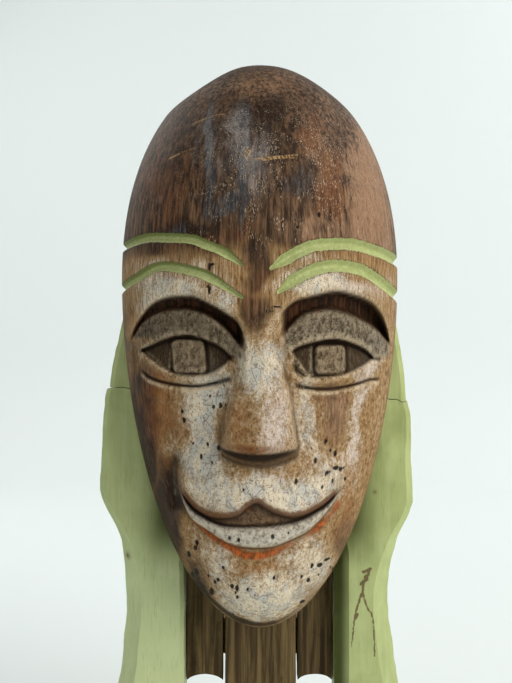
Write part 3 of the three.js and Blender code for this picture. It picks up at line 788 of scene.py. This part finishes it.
def plank(name, node, material, seed, arch=0.0, wear=0.8, lying=False):
    """A hand-worked board in the place of a CAD box. Its lower end is hollowed where it has an arch."""
    (left, high_y, bottom), (right, low_y, top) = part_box(node)
    left, right, bottom, top = left / MM, right / MM, bottom / MM, top / MM
    back, front = (BACK - low_y) / MM, (BACK - high_y) / MM
    step = 2.6  # the size of the quads
    form = bmesh.new()
    bmesh.ops.create_cube(form, size=1)
    size = Vector((right - left, front - back, top - bottom))
    middle = Vector(((left + right) / 2, (back + front) / 2, (bottom + top) / 2))
    for vertex in form.verts:
        vertex.co = vertex.co * size + middle
    bmesh.ops.bevel(form, geom=form.edges[:], offset=wear, segments=2, affect="EDGES", profile=0.6)
    for axis, (low, high) in enumerate([(left, right), (back, front), (bottom, top)]):
        for cut in np.arange(low + step, high - step / 2, step):
            point, normal = Vector((0, 0, 0)), Vector((0, 0, 0))
            point[axis], normal[axis] = cut, 1
            geometry = form.verts[:] + form.edges[:] + form.faces[:]
            bmesh.ops.bisect_plane(form, geom=geometry, plane_co=point, plane_no=normal)
    bmesh.ops.triangulate(form, faces=[f for f in form.faces if len(f.verts) > 4])
    # Out points towards the viewer, so the faces are turned over with it.
    faces = [[v.index for v in reversed(f.verts)] for f in form.faces]
    x, out, z = np.array([v.co[:] for v in form.verts]).T.copy()
    form.free()
    along, across = (x, z) if lying else (z, x)
    grain = 0.35 * lattice(across, along / 9, 3.4, seed) + 0.3 * lattice(across, along / 4, 11, seed + 1)
    worn_in = 0.5 * grain - 0.85 if lying else grain - 0.3  # a batten's screws' heads stand proud of it
    from_middle = out - (back + front) / 2
    face = np.sign(from_middle)
    out = out + face * worn_in * (np.abs(from_middle) > (front - back) * 0.3)
    edge_side = np.sign(across - across.mean())
    drift = 0.35 * lattice(np.full(along.shape, 7.0), along, 26, seed + 2)
    drift = drift + 0.15 * lattice(face * 9, along, 7, seed + 3)
    on_edge = np.abs(across - across.mean()) > (across.max() - across.min()) * 0.4
    across = across + edge_side * (drift - 0.3) * on_edge
    x, z = (along, across) if lying else (across, along)
    lift = arch * np.maximum(1 - ((x - (left + right) / 2) / ((right - left) / 2)) ** 2, 0) ** 0.5
    z = z + lift * rise(bottom + 30, bottom, z)
    shade_by_angle(new_piece(name, at(x, out, z), faces, material, node), 50)


# ---- Materials ----
def colour(red, green, blue):
    """A screen colour, 0 to 255, as a linear one."""
    parts = [c / 255 for c in (red, green, blue)]
    return tuple(c / 12.92 if c <= 0.04045 else ((c + 0.055) / 1.055) ** 2.4 for c in parts) + (1.0,)


class Value:
    """A number or colour that a material works out at each point. Numbers can be added and multiplied."""

    def __init__(self, look, socket):
        self.look, self.socket = look, socket

    def __mul__(self, other):
        return self.look.sum("MULTIPLY", self, other)

    def __add__(self, other):
        return self.look.sum("ADD", self, other)

    def __sub__(self, other):
        return self.look.sum("SUBTRACT", self, other)

    def __rsub__(self, other):
        return self.look.sum("SUBTRACT", other, self)

    __rmul__, __radd__ = __mul__, __add__

    def step(self, low, high):
        """Goes smoothly from 0 at low to 1 at high, and the other way where low is the larger."""
        ends = {"From_Min": low, "From_Max": high, "To_Min": 0.0, "To_Max": 1.0}
        if low > high:
            ends = {"From_Min": high, "From_Max": low, "To_Min": 1.0, "To_Max": 0.0}
        node = self.look.node("MapRange", Value=self, **ends)
        node.interpolation_type = "SMOOTHSTEP"
        return Value(self.look, node.outputs[0])

    def tone(self, low, high, first, second):
        """One colour where this number is low, and another where it is high."""
        return self.look.mix(self.step(low, high), first, second)

    def coat(self, amount, over):
        """This colour with another one over it."""
        return self.look.mix(amount, self, over)


class Look:
    """A material made from nodes. Lengths in it are millimetres, and colours are screen colours."""

    def __init__(self, name, gloss=0.5, metallic=0.0):
        self.material = bpy.data.materials.new(name)
        self.material.use_nodes = True
        self.tree = self.material.node_tree
        self.tree.nodes.clear()
        self.shader = self.node("BsdfPrincipled", Metallic=metallic, Specular_IOR_Level=gloss)
        self.tree.links.new(self.shader.outputs[0], self.node("OutputMaterial").inputs[0])
        self.place = Value(self, self.node("TexCoord").outputs["Object"])

    def link(self, value, socket):
        """Joins a value to a socket, or sets the socket to a plain number or a screen colour."""
        if isinstance(value, Value):
            self.tree.links.new(value.socket, socket)
        else:
            socket.default_value = colour(*value) if isinstance(value, tuple) else value

    def node(self, kind, **inputs):
        """A new node with its inputs joined or set. An underscore in an input's name stands for a space."""
        made = self.tree.nodes.new("ShaderNode" + kind)
        for name, value in inputs.items():
            self.link(value, made.inputs[name.replace("_", " ")])
        return made

    def scaled(self, size, shift):
        """The place on the object, measured in steps of the size's millimetres along x, y and z."""
        node = self.node("Mapping", Vector=self.place)
        node.inputs["Scale"].default_value = [1 / MM / step for step in size]
        node.inputs["Location"].default_value = shift
        return Value(self, node.outputs[0])

    def noise(self, size, detail, roughness, twist=0.0, shift=(0, 0, 0)):
        node = self.node("TexNoise", Vector=self.scaled(size, shift), Scale=1.0, Detail=detail)
        self.link(roughness, node.inputs["Roughness"])
        self.link(twist, node.inputs["Distortion"])
        return Value(self, node.outputs["Fac"])

    def cells(self, size):
        """The distance to the nearest edge of a pattern of cells."""
        node = self.node("TexVoronoi")
        node.feature = "DISTANCE_TO_EDGE"
        self.link(self.scaled(size, (0, 0, 0)), node.inputs["Vector"])
        node.inputs["Scale"].default_value = 1.0
        return Value(self, node.outputs["Distance"])

    def value(self, name):
        """The numbers that add_values stored under a name."""
        node = self.node("Attribute")
        node.attribute_name = name
        return Value(self, node.outputs["Fac"])

    def sum(self, operation, *parts):
        node = self.node("Math")
        node.operation = operation
        for part, socket in zip(parts, node.inputs):
            self.link(part, socket)
        return Value(self, node.outputs[0])

    def blend(self, amount, first, second):
        """Goes from one number to another as the amount goes from 0 to 1."""
        return self.sum("MULTIPLY_ADD", amount, self.sum("SUBTRACT", second, first), first)

    def mix(self, amount, first, second):
        """Goes from one colour to another as the amount goes from 0 to 1."""
        node = self.node("Mix")
        node.data_type = "RGBA"
        for part, socket in zip((amount, first, second), (node.inputs[0], node.inputs[6], node.inputs[7])):
            self.link(part, socket)
        return Value(self, node.outputs[2])

    def finish(self, base, roughness, bumps=()):
        """bumps are (height from 0 to 1, its depth in millimetres, its strength)."""
        self.link(base, self.shader.inputs["Base Color"])
        self.link(roughness, self.shader.inputs["Roughness"])
        above = self.shader.inputs["Normal"]
        for height, depth, strength in reversed(bumps):
            bump = self.node("Bump", Distance=depth * MM, Strength=strength, Height=height)
            self.tree.links.new(bump.outputs[0], above)
            above = bump.inputs["Normal"]
        return self.material


def face_wood():
    look = Look("face_wood", 0.07)
    value = look.value
    streak = look.noise((2.0, 2.0, 46.0), 3, 0.6, 0.4)
    fine = look.noise((0.5, 0.5, 8.0), 2, 0.6)
    blotch = look.noise((8.0, 8.0, 13.0), 4, 0.62, 0.6)
    mottle = look.noise((2.2, 2.2, 3.0), 4, 0.72, 0.7)
    speck = look.noise((0.5, 0.5, 0.7), 2, 0.6)
    grit = look.noise((2.8, 2.8, 3.8), 6, 0.86, 0.2)
    strokes = look.noise((1.1, 1.1, 12.0), 5, 0.8, 0.3, (5, 2, 1))
    flecks = look.noise((0.42, 0.42, 2.2), 1, 0.5)
    gritty = look.blend(value("upper"), grit, strokes)

    def covered(name, low, high, hold=0.5, grain=gritty):
        """Where a colour lies, broken up by the grain; hold is the weight of its mask against the grain."""
        return (grain + value(name) * hold).step(low, high)

    # Bare wood, and the dark varnish over it
    bare = gritty.tone(0.34, 0.60, (98, 67, 38), (176, 139, 92))
    bare = bare.coat(covered("rust", 0.62, 0.90) * 0.7, (146, 96, 52))
    bare = bare.coat(fine.step(0.48, 0.64) * 0.5, (66, 44, 28))
    dark = streak.tone(0.34, 0.64, (50, 36, 26), (106, 80, 58))
    dark = dark.coat(covered("rust", 0.52, 1.0, 0.5, streak) * 0.7, (112, 66, 35))
    dark = dark.coat(covered("deep", 0.60, 1.0, 0.5, blotch) * 0.85, (35, 24, 17))
    slate = strokes.tone(0.42, 0.70, (32, 42, 50), (96, 98, 100))
    dark = dark.coat(covered("blue", 0.66, 0.88, 0.5, streak) * 0.8, slate)
    # Paler wood, partly painted light at the crown and on the right side
    dark = dark.coat(covered("pale", 0.50, 1.05, 0.55, streak) * 0.85, (162, 126, 97))
    dark = dark.coat(fine.step(0.50, 0.64) * 0.5, (30, 22, 17))
    dark = dark.coat(strokes.step(0.52, 0.70) * 0.28, (128, 98, 72))
    varnished = covered("varnish", 0.60, 0.90)
    base = bare.coat(varnished, dark)

    # The forehead's grey bloom with a painted sheen, flecks and scratches
    bloom_and_sheen = covered("frost", 0.70, 0.98, 0.42, streak * 0.4 + speck * 0.6) * 0.5
    # A smooth grey wash under the speckled bloom is a painted sheen
    bloom_and_sheen = (bloom_and_sheen + value("frost") * 0.1) * value("forehead")
    base = base.coat(bloom_and_sheen, look.mix(value("rust"), (142, 140, 140), (180, 150, 116)))
    where = (blotch + (value("rust") + value("frost")) * 0.12).step(0.50, 0.64)
    base = base.coat(flecks.step(0.60, 0.67) * where * value("forehead") * 0.8, (202, 178, 150))
    scratched = value("scratch").step(0.6, 0.2) * fine.step(0.36, 0.50) * 0.8
    base = base.coat(scratched, (196, 158, 108))

    # Whitewash, with its dirt and cracks
    present = value("chalk").step(0.08, 0.30)
    thin = covered("chalk", 0.56, 0.80, 0.42) * present * 0.7
    base = base.coat(thin, mottle.tone(0.40, 0.60, (156, 125, 84), (184, 160, 124)))
    washed = covered("chalk", 0.72, 0.96, 0.46) * present * 0.94
    pink = covered("pale", 0.5, 1.0) * 0.7
    chalk = blotch.tone(0.42, 0.60, (226, 213, 188), (198, 196, 186)).coat(pink, (208, 190, 180))
    base = base.coat(washed, chalk)
    chalky = value("chalk").step(0.2, 0.6)
    freckle = speck.step(0.50, 0.60) * mottle.step(0.40, 0.58) * chalky
    base = base.coat(freckle * 0.85, (94, 63, 35))
    base = base.coat(mottle.step(0.55, 0.70) * chalky * 0.55, (148, 112, 70))
    crackle = look.cells((5.5, 5.5, 6.5)).step(0.05, 0.02) * blotch.step(0.50, 0.58) * washed * (1.0 - pink)
    base = base.coat(crackle * 0.6, (84, 66, 48))
    crumbs = look.noise((0.8, 0.8, 1.1), 3, 0.7, 0, (9, 4, 2)).step(0.62, 0.69) * mottle.step(0.40, 0.60)
    base = base.coat(crumbs * value("forehead").step(0.6, 0.2) * 0.85, (40, 29, 20))

    # The eyes and the lips, and painted highlights on lit edges
    lid = grit.tone(0.36, 0.66, (46, 38, 29), (148, 136, 116))
    lid = lid.coat(speck.step(0.46, 0.62) * 0.5, (52, 42, 31))
    # Painted highlight on the lid's lit lower edge, and painted shade under the fold and over the left lid
    lid = lid.coat(value("lid_edge_highlight") * grit.step(0.36, 0.58) * 0.7, (178, 162, 136))
    lid = lid.coat(value("lid_top_shade") * 0.7, (34, 25, 17))
    base = base.coat(value("lid") * look.blend(value("chalk_lid"), 0.9, 0.35), lid)
    base = base.coat(value("ball") * 0.94, fine.tone(0.40, 0.62, (76, 61, 44), (36, 26, 18)))
    base = base.coat(value("pupil") * 0.92, grit.tone(0.36, 0.66, (56, 42, 28), (146, 128, 103)))
    lip = grit.tone(0.34, 0.58, (104, 94, 80), (206, 199, 184))
    lip = lip.coat(speck.step(0.54, 0.66) * 0.5, (82, 72, 58))
    base = base.coat(value("lip") * 0.92, lip)
    base = base.coat(value("upper_lip") * 0.92, grit.tone(0.36, 0.66, (58, 40, 27), (112, 86, 62)))
    # Painted highlight on lit edges, lit creases and the gleam in the smile crease
    wear_and_highlight = value("light") + value("edges") * 0.25
    base = base.coat(wear_and_highlight * grit.step(0.38, 0.58), (204, 184, 152))

    # Brown and orange stains, painted shade in the creases and hollows, and a dark band along the jaw's lower rim
    base = base.coat(covered("lip_edge", 0.66, 0.90, 0.45, grit) * 0.88, (92, 54, 28))
    rusty = mottle.tone(0.42, 0.6, (134, 78, 42), (60, 36, 21))
    base = base.coat(covered("nose_edge", 0.66, 0.9, 0.5, grit) * 0.9 * 0.8, rusty)
    orange = mottle.tone(0.36, 0.62, (196, 98, 44), (104, 58, 28))
    base = base.coat(covered("stain", 0.74, 0.98, 0.5, grit) * 0.92, orange)
    # Painted shade on the nose's underside
    base = base.coat(value("nose_underside_shade") * 0.9, grit.tone(0.36, 0.62, (62, 42, 27), (112, 86, 60)))
    # Painted shade, near black: in the lid lines and the crease below each eye, around the pupils, between the
    # lips, under the nose, in the smile crease, in the carved hollows and along the outline
    painted_shade = value("line") * 0.95
    shade_weights = {"pupil_groove_shade": 0.6, "lip_line_shade": 0.75, "nose_dark_shade": 1.1, "smile": 0.6, "recess_shade": 0.55}
    for name, weight in [*shade_weights.items(), ("rim", 0.35)]:
        painted_shade = painted_shade + value(name) * weight
    base = base.coat(look.sum("MINIMUM", painted_shade * (0.5 + grit), 0.95), (28, 17, 10))
    # Painted shadow that the brow casts into each eye socket
    base = base.coat(value("under") * 0.95, streak.tone(0.42, 0.70, (22, 13, 8), (84, 50, 29)))
    base = base.coat(covered("jaw_rim_dark", 0.76, 0.92, 0.5, grit) * 0.9, (36, 26, 19))
    torn = (look.noise((1.2, 1.2, 1.6), 2, 0.6) - 0.5) * 1.2
    marks = look.sum("MINIMUM", value("hole"), value("chip")) + torn
    base = base.coat(marks.step(1.25, 0.8) * 0.94, (20, 17, 17))
    base = base.coat(value("inside").step(0.1, 0.5), streak.tone(0.35, 0.65, (120, 88, 58), (168, 130, 92)))

    # The painted brow grooves
    reach = value("groove") + (mottle - 0.5) * 0.9 + (speck - 0.5) * 0.4
    base = base.coat(reach.step(1.42, 1.2) * mottle.step(0.36, 0.56) * 0.6, (44, 34, 20))
    green = mottle.tone(0.35, 0.7, (168, 176, 112), (194, 200, 144))
    # Painted shade on the grooves' upper facets, which face down
    green = green.coat(value("groove_upper_shade") * 0.9, (98, 106, 52))
    green = green.coat(speck.step(0.60, 0.70) * 0.5, (110, 84, 50))
    base = base.coat(reach.step(1.16, 1.06), green)

    roughness = 0.60 + varnished * -0.15 + washed * 0.15 + fine * 0.1
    relief = fine * 0.3 + grit * 0.8
    grain = flecks.step(0.58, 0.68) * -0.8 + 1.0
    return look.finish(base, roughness, [(relief, 0.8, 0.7), (grain, 0.2, 0.6)])


def green_paint():
    look = Look("green_paint", 0.2)
    brushed = look.noise((5.0, 5.0, 60.0), 3, 0.6, 0.5)
    cloud = look.noise((26.0, 26.0, 40.0), 3, 0.55, 0.6)
    fine = look.noise((0.8, 0.8, 16.0), 2, 0.6)
    lumps = look.noise((4.0, 4.0, 7.0), 3, 0.6)
    base = cloud.tone(0.32, 0.7, (148, 158, 98), (170, 180, 120))
    base = base.coat(brushed.step(0.42, 0.7) * 0.35, (184, 193, 138))
    # Painted light: a lighter green low on the posts
    base = base.coat(look.value("post_light") * 0.6, (204, 214, 166))
    base = base.coat(fine.step(0.56, 0.72) * 0.3, (118, 128, 76))
    chipped = look.value("wear_and_highlight") * (lumps + fine * 0.4).step(0.50, 0.66)
    broken = look.value("scratch") + (look.noise((1.5, 1.5, 2.5), 3, 0.7) - 0.5) * 2.2
    wear_and_highlight = look.sum("MAXIMUM", chipped, broken.step(1.0, 0.5) * 0.85)
    base = base.coat(wear_and_highlight, (92, 64, 42))
    # Painted shade beside the face and on the right post's inner facet
    base = base.coat(look.value("post_shade"), (60, 66, 14))
    height = brushed * 0.6 + lumps * 0.55 + fine * 0.25
    return look.finish(base, 0.42 + brushed * 0.12 + wear_and_highlight * 0.2, [(height, 0.45, 0.5)])


def plain_wood(name, light, deep, stain, along="z", amount=0.5):
    """Bare wood with its grain along x or z; amount is how strongly its stain shows."""
    look = Look(name, 0.12)

    def size(across, length):
        return (length, across, across) if along == "x" else (across, across, length)

    streak = look.noise(size(3.5, 80.0), 4, 0.6, 0.5)
    fine = look.noise(size(0.6, 18.0), 2, 0.6)
    blotch = look.noise(size(14.0, 26.0), 4, 0.6, 0.8)
    base = streak.tone(0.36, 0.66, deep, light)
    base = base.coat(fine.step(0.48, 0.66) * 0.5, deep)
    base = base.coat(blotch.step(0.55, 0.70) * amount, stain)
    return look.finish(base, 0.72 + fine * 0.12, [(streak * 0.4 + fine * 0.6, 0.5, 0.6)])


def metal(name, bright, dull, roughness):
    look = Look(name, metallic=1.0)
    smudge = look.noise((3.0, 3.0, 3.0), 3, 0.6)
    scratch = look.noise((0.3, 0.3, 4.0), 2, 0.6)
    base = smudge.tone(0.4, 0.7, bright, dull)
    return look.finish(base, roughness + smudge.step(0.4, 0.8) * 0.2, [(scratch, 0.03, 0.4)])


# ---- Fasteners and the hanger ----
def screw_piece(node, material):
    """A countersunk screw with a cross recess and a thread, in the place of its plain solid."""
    low, high = box_mm(node)
    head, tip = high[1], low[1]
    radius = (high[2] - low[2]) / 2
    shank = radius * 0.5
    angles = np.linspace(0, 2 * math.pi, 40, endpoint=False)
    rings = []

    def add_ring(size, y):
        y = np.broadcast_to(y, angles.shape)
        rings.append(np.stack([size * np.cos(angles), y, size * np.sin(angles)], axis=-1))

    arm, reach, deep = radius * 0.13, radius * 0.62, radius * 0.38
    for r in np.linspace(0.06, 1, 11) * radius:
        u, v = np.abs(r * np.cos(angles)), np.abs(r * np.sin(angles))
        one = rise(arm + 0.2, arm, u) * rise(reach + 0.15, reach - 0.1, v)
        two = rise(arm + 0.2, arm, v) * rise(reach + 0.15, reach - 0.1, u)
        add_ring(r, head - deep * np.maximum(one, two) - 0.12 * (r / radius) ** 4)
    add_ring(radius, head - 0.35)
    neck = head - (radius - shank) * 0.85 - 0.4
    pitch = shank * 0.85
    for y in np.arange(neck, tip + 0.2, -pitch / 4):
        taper = min(1.0, (y - tip) / (3 * shank))
        thread = (np.abs(((angles / (2 * math.pi) + y / pitch) % 1) - 0.5) * 2) ** 1.5
        grip = shank * (0.72 + 0.28 * thread) if y < neck - 2 * pitch else shank * 0.8
        add_ring(grip * max(taper, 0.08), y)
    points, faces = closed_tube(rings, [[0, head - deep, 0], [0, tip, 0]])
    points += [(low[0] + high[0]) / 2, 0, (low[2] + high[2]) / 2]
    piece = new_piece(f"{node}_cut", points * MM, [f[::-1] for f in faces], material, node)
    shade_by_angle(piece, 40)


def swept_wire(name, path, radius, material, node, body):
    """A closed wire along a flat closed path in the x-z plane."""
    path = np.array(path)
    ahead = np.roll(path, -1, axis=0) - np.roll(path, 1, axis=0)
    ahead /= np.linalg.norm(ahead, axis=1, keepdims=True)
    outward = np.stack([-ahead[:, 2], np.zeros(len(path)), ahead[:, 0]], axis=-1)
    turn = np.linspace(0, 2 * math.pi, 14, endpoint=False)
    around = [np.outer(np.cos(turn), side) + np.outer(np.sin(turn), [0, 1, 0]) for side in outward]
    rings = [centre + radius * ring for centre, ring in zip(path, around)]
    loops = list(np.arange(len(rings) * len(turn)).reshape(len(rings), -1))
    faces = strip_faces(loops + loops[:1])
    new_piece(name, np.concatenate(rings) * MM, faces, material, node, body)


def hanger_pieces(material):
    """The ring, and the plate whose upper end is rolled round the ring's bar."""
    low, high = box_mm("hanger_ring")
    cx, cy = (low[0] + high[0]) / 2, (low[1] + high[1]) / 2
    wire = (high[1] - low[1]) / 2
    half_bar = (high[0] - low[0]) / 2 - wire
    bar_z, bow_z = high[2] - wire, low[2] + wire
    corner = 2.4

    def arc(middle_x, middle_z, radius, start, end, count):
        """Points on an arc of the ring, from start to end in quarter turns."""
        turns = np.linspace(start, end, count) * math.pi / 2
        return [(cx + middle_x + radius * math.cos(a), cy, middle_z + radius * math.sin(a)) for a in turns]

    bar = half_bar - corner
    path = [(cx + x, cy, bar_z) for x in np.linspace(-bar, bar, 8)]
    path += arc(bar, bar_z - corner, corner, 1, 0, 9)[1:]
    path += arc(0, bow_z + half_bar, half_bar, 0, -2, 30)
    path += arc(-bar, bar_z - corner, corner, 2, 1, 9)[:-1]
    swept_wire("hanger_ring_wire", path, wire, material, "hanger_ring", "ring")

    plate_low, plate_high = box_mm("hanger_plate")
    board = plate_low[1]
    thick = box_mm("hanger_screw_upper")[1][1] - board - 0.3  # the screws' heads stand proud of the plate
    eye = 2.9  # from the board to the middle of the rolled eye, which is also the eye's outer radius
    middle = eye - thick / 2
    strip = [(board + thick / 2, z) for z in np.linspace(plate_low[2] + 0.6, bar_z - 1.0, 22)]
    roll = np.radians(np.linspace(172, -130, 34))
    strip += [(board + eye + middle * math.cos(a), bar_z + middle * math.sin(a)) for a in roll]
    strip = np.array(strip)
    ahead = np.gradient(strip, axis=0)
    ahead /= np.linalg.norm(ahead, axis=1, keepdims=True)
    side = np.stack([ahead[:, 1], -ahead[:, 0]], axis=-1)
    half_width = (plate_high[0] - plate_low[0]) / 2
    rings = []
    for k, (point, normal) in enumerate(zip(strip, side)):
        rounding = min(1.0, 0.62 + 0.38 * math.sqrt(min(1.0, k / 5)))
        w, t = half_width * rounding, thick / 2
        outline = [(-w, -t + 0.2), (-w + 0.2, -t), (w - 0.2, -t), (w, -t + 0.2)]
        outline += [(w, t - 0.2), (w - 0.2, t), (-w + 0.2, t), (-w, t - 0.2)]
        rings.append(np.array([(cx + a, *(point + normal * b)) for a, b in outline]))
    points, faces = closed_tube(rings)
    piece = new_piece("hanger_plate_rolled", points * MM, faces, material, "hanger_plate")
    shade_by_angle(piece, 35)


# ---- Putting it together ----
def build():
    green = green_paint()
    board = plain_wood("board_wood", (116, 97, 64), (63, 50, 31), (28, 20, 11))
    batten = plain_wood("batten_wood", (156, 128, 90), (108, 82, 54), (84, 66, 46), "x", 0.35)
    dowel = plain_wood("dowel_wood", (206, 172, 124), (168, 132, 88), (150, 112, 72), "z", 0.2)
    zinc = metal("screw_steel", (196, 182, 132), (150, 136, 96), 0.32)
    plated = metal("hanger_steel", (198, 198, 194), (150, 150, 146), 0.3)

    face_mesh(face_wood())
    for which in POSTS:
        for level, screw in (("post", "lower"), ("upper", "upper")):
            piece = post_piece(which, level, green)
            bore(piece, f"face_screw_{screw}_{which}")
            paint_wear_light_and_shade(piece, which)
            shade_by_angle(piece, 34)
        dowel_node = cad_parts[f"{which}_post_dowel"]
        dowel_node.data.materials.clear()
        dowel_node.data.materials.append(dowel)
    for which, seed in (("left", 41), ("right", 51)):
        plank(f"{which}_board_worked", f"{which}_board", board, seed, ARCH_RISE)
    plank("centre_board_worked", "centre_board", board, 61, wear=2.2)
    for node, seed in (("upper_batten", 71), ("lower_batten", 72)):
        plank(f"{node}_sawn", node, batten, seed, wear=0.9, lying=True)
    for node in [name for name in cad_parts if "screw" in name]:
        screw_piece(node, zinc)
    hanger_pieces(plated)


SCRATCHES = [
    [(66, 140), (64.5, 131), (67, 121), (71, 113), (72, 90)],
    [(64.5, 131), (60, 116), (57.5, 96)],
]
SMEARS = [[(65, 142.5), (69.5, 144.5)], [(68.3, 143), (67, 138), (63.5, 135)], [(61, 116), (60, 114)]]


def paint_wear_light_and_shade(piece, which):
    """Where the green paint is chipped and scratched, where painted light brightens the posts low down and where
    painted shade darkens them beside the face, by place on the post.
    """
    x, y, z = (np.array([v.co[:] for v in piece.data.vertices]) / MM).T
    out = BACK / MM - y
    front = rise(-30, -10, out)
    side = np.abs(x) - POST_INNER
    # Painted light: a lighter green low on the posts, most on the left
    post_light = rise(190, 130, z)
    post_shade = 0.95 * rise(140, 175, z) * rise(30, 10, side) * rise(-20, -4, out)  # painted shade beside the face
    if which == "left":
        post_light = np.maximum(post_light, 0.3)
        chipped = 0.9 * hump(np.hypot(x + 83, z - 152), 2.0)
        scratch = np.full(len(x), FAR)
    else:
        post_light = 0.2 * post_light
        chipped = 0.8 * hump(np.hypot(x - 72, z - 192.5), 1.2)
        post_shade = np.maximum(post_shade, 0.9 * rise(9, 3, side) * rise(-16, -8, out))  # painted shade on the inner edge's facet
        thinned = [near(curve(points), x, z) for points in SCRATCHES]
        lines = [distance + 0.3 * along for distance, along, _ in thinned]
        scratch = closest(lines + [near(points, x, z)[0] - 0.25 for points in SMEARS])
    add_values(piece, "post_light", post_light)
    add_values(piece, "wear_and_highlight", chipped * front)
    add_values(piece, "scratch", np.where(front > 0.5, scratch, FAR))
    add_values(piece, "post_shade", post_shade)


def stage():
    """A sheet that is the table and, behind the object, the wall."""
    paper = Look("backdrop_paper").finish((238, 244, 243), 0.9)
    front, back, half, top, bend = -5.0, 1.7, 5.0, 4.0, 0.3
    profile = [(front, 0.0), (back - bend, 0.0)]
    turns = np.linspace(0.2, 1.4, 7)
    profile += [(back - bend + bend * math.sin(a), bend - bend * math.cos(a)) for a in turns]
    profile += [(back, bend), (back, top)]
    points = [(x, y, z) for y, z in profile for x in (-half, half)]
    faces = [(2 * k, 2 * k + 1, 2 * k + 3, 2 * k + 2) for k in range(len(profile) - 1)]
    add_mesh("backdrop", points, faces, paper)


def area_light(name, place, target, size, power, tint=(1, 1, 1)):
    light = bpy.data.lights.new(name, "AREA")
    light.energy, light.size, light.color = power, size, tint
    lamp = add_object(name, light)
    lamp.location = place
    lamp.rotation_euler = (Vector(target) - Vector(place)).to_track_quat("-Z", "Y").to_euler()


def light_and_camera():
    scene = bpy.context.scene
    scene.view_settings.view_transform = "Standard"
    world = bpy.data.worlds.new("studio")
    world.use_nodes = True
    background = world.node_tree.nodes["Background"]
    background.inputs["Color"].default_value = (0.95, 0.97, 0.96, 1)
    background.inputs["Strength"].default_value = 0.22
    scene.world = world
    middle = (0, BACK, 0.27)
    area_light("window", (1.15, -1.05, 0.80), middle, 1.2, 21.5, (1.0, 0.985, 0.95))
    area_light("fill", (-1.1, -1.3, 0.6), middle, 1.6, 5.6, (0.97, 0.98, 1.0))
    area_light("wall_wash", (1.9, 0.85, 2.0), (0.7, 1.7, 0.9), 1.2, 28)
    area_light("back_fill", (-1.1, 1.0, 1.3), middle, 0.9, 11, (1.0, 0.99, 0.97))

    # The camera stands this far in front of the face's back, and sees this height there.
    distance, view_height, seen_height, aim_x = 0.66, 0.2866, 0.4269, -0.0022
    data = bpy.data.cameras.new("camera")
    data.sensor_fit = "VERTICAL"
    data.sensor_height = 24
    data.lens = data.sensor_height * distance / seen_height
    data.clip_start = 0.01
    camera = add_object("camera", data)
    camera.location = (aim_x, BACK - distance, view_height)
    camera.rotation_euler = (math.pi / 2, 0, 0)
    scene.camera = camera


build()
stage()
light_and_camera()
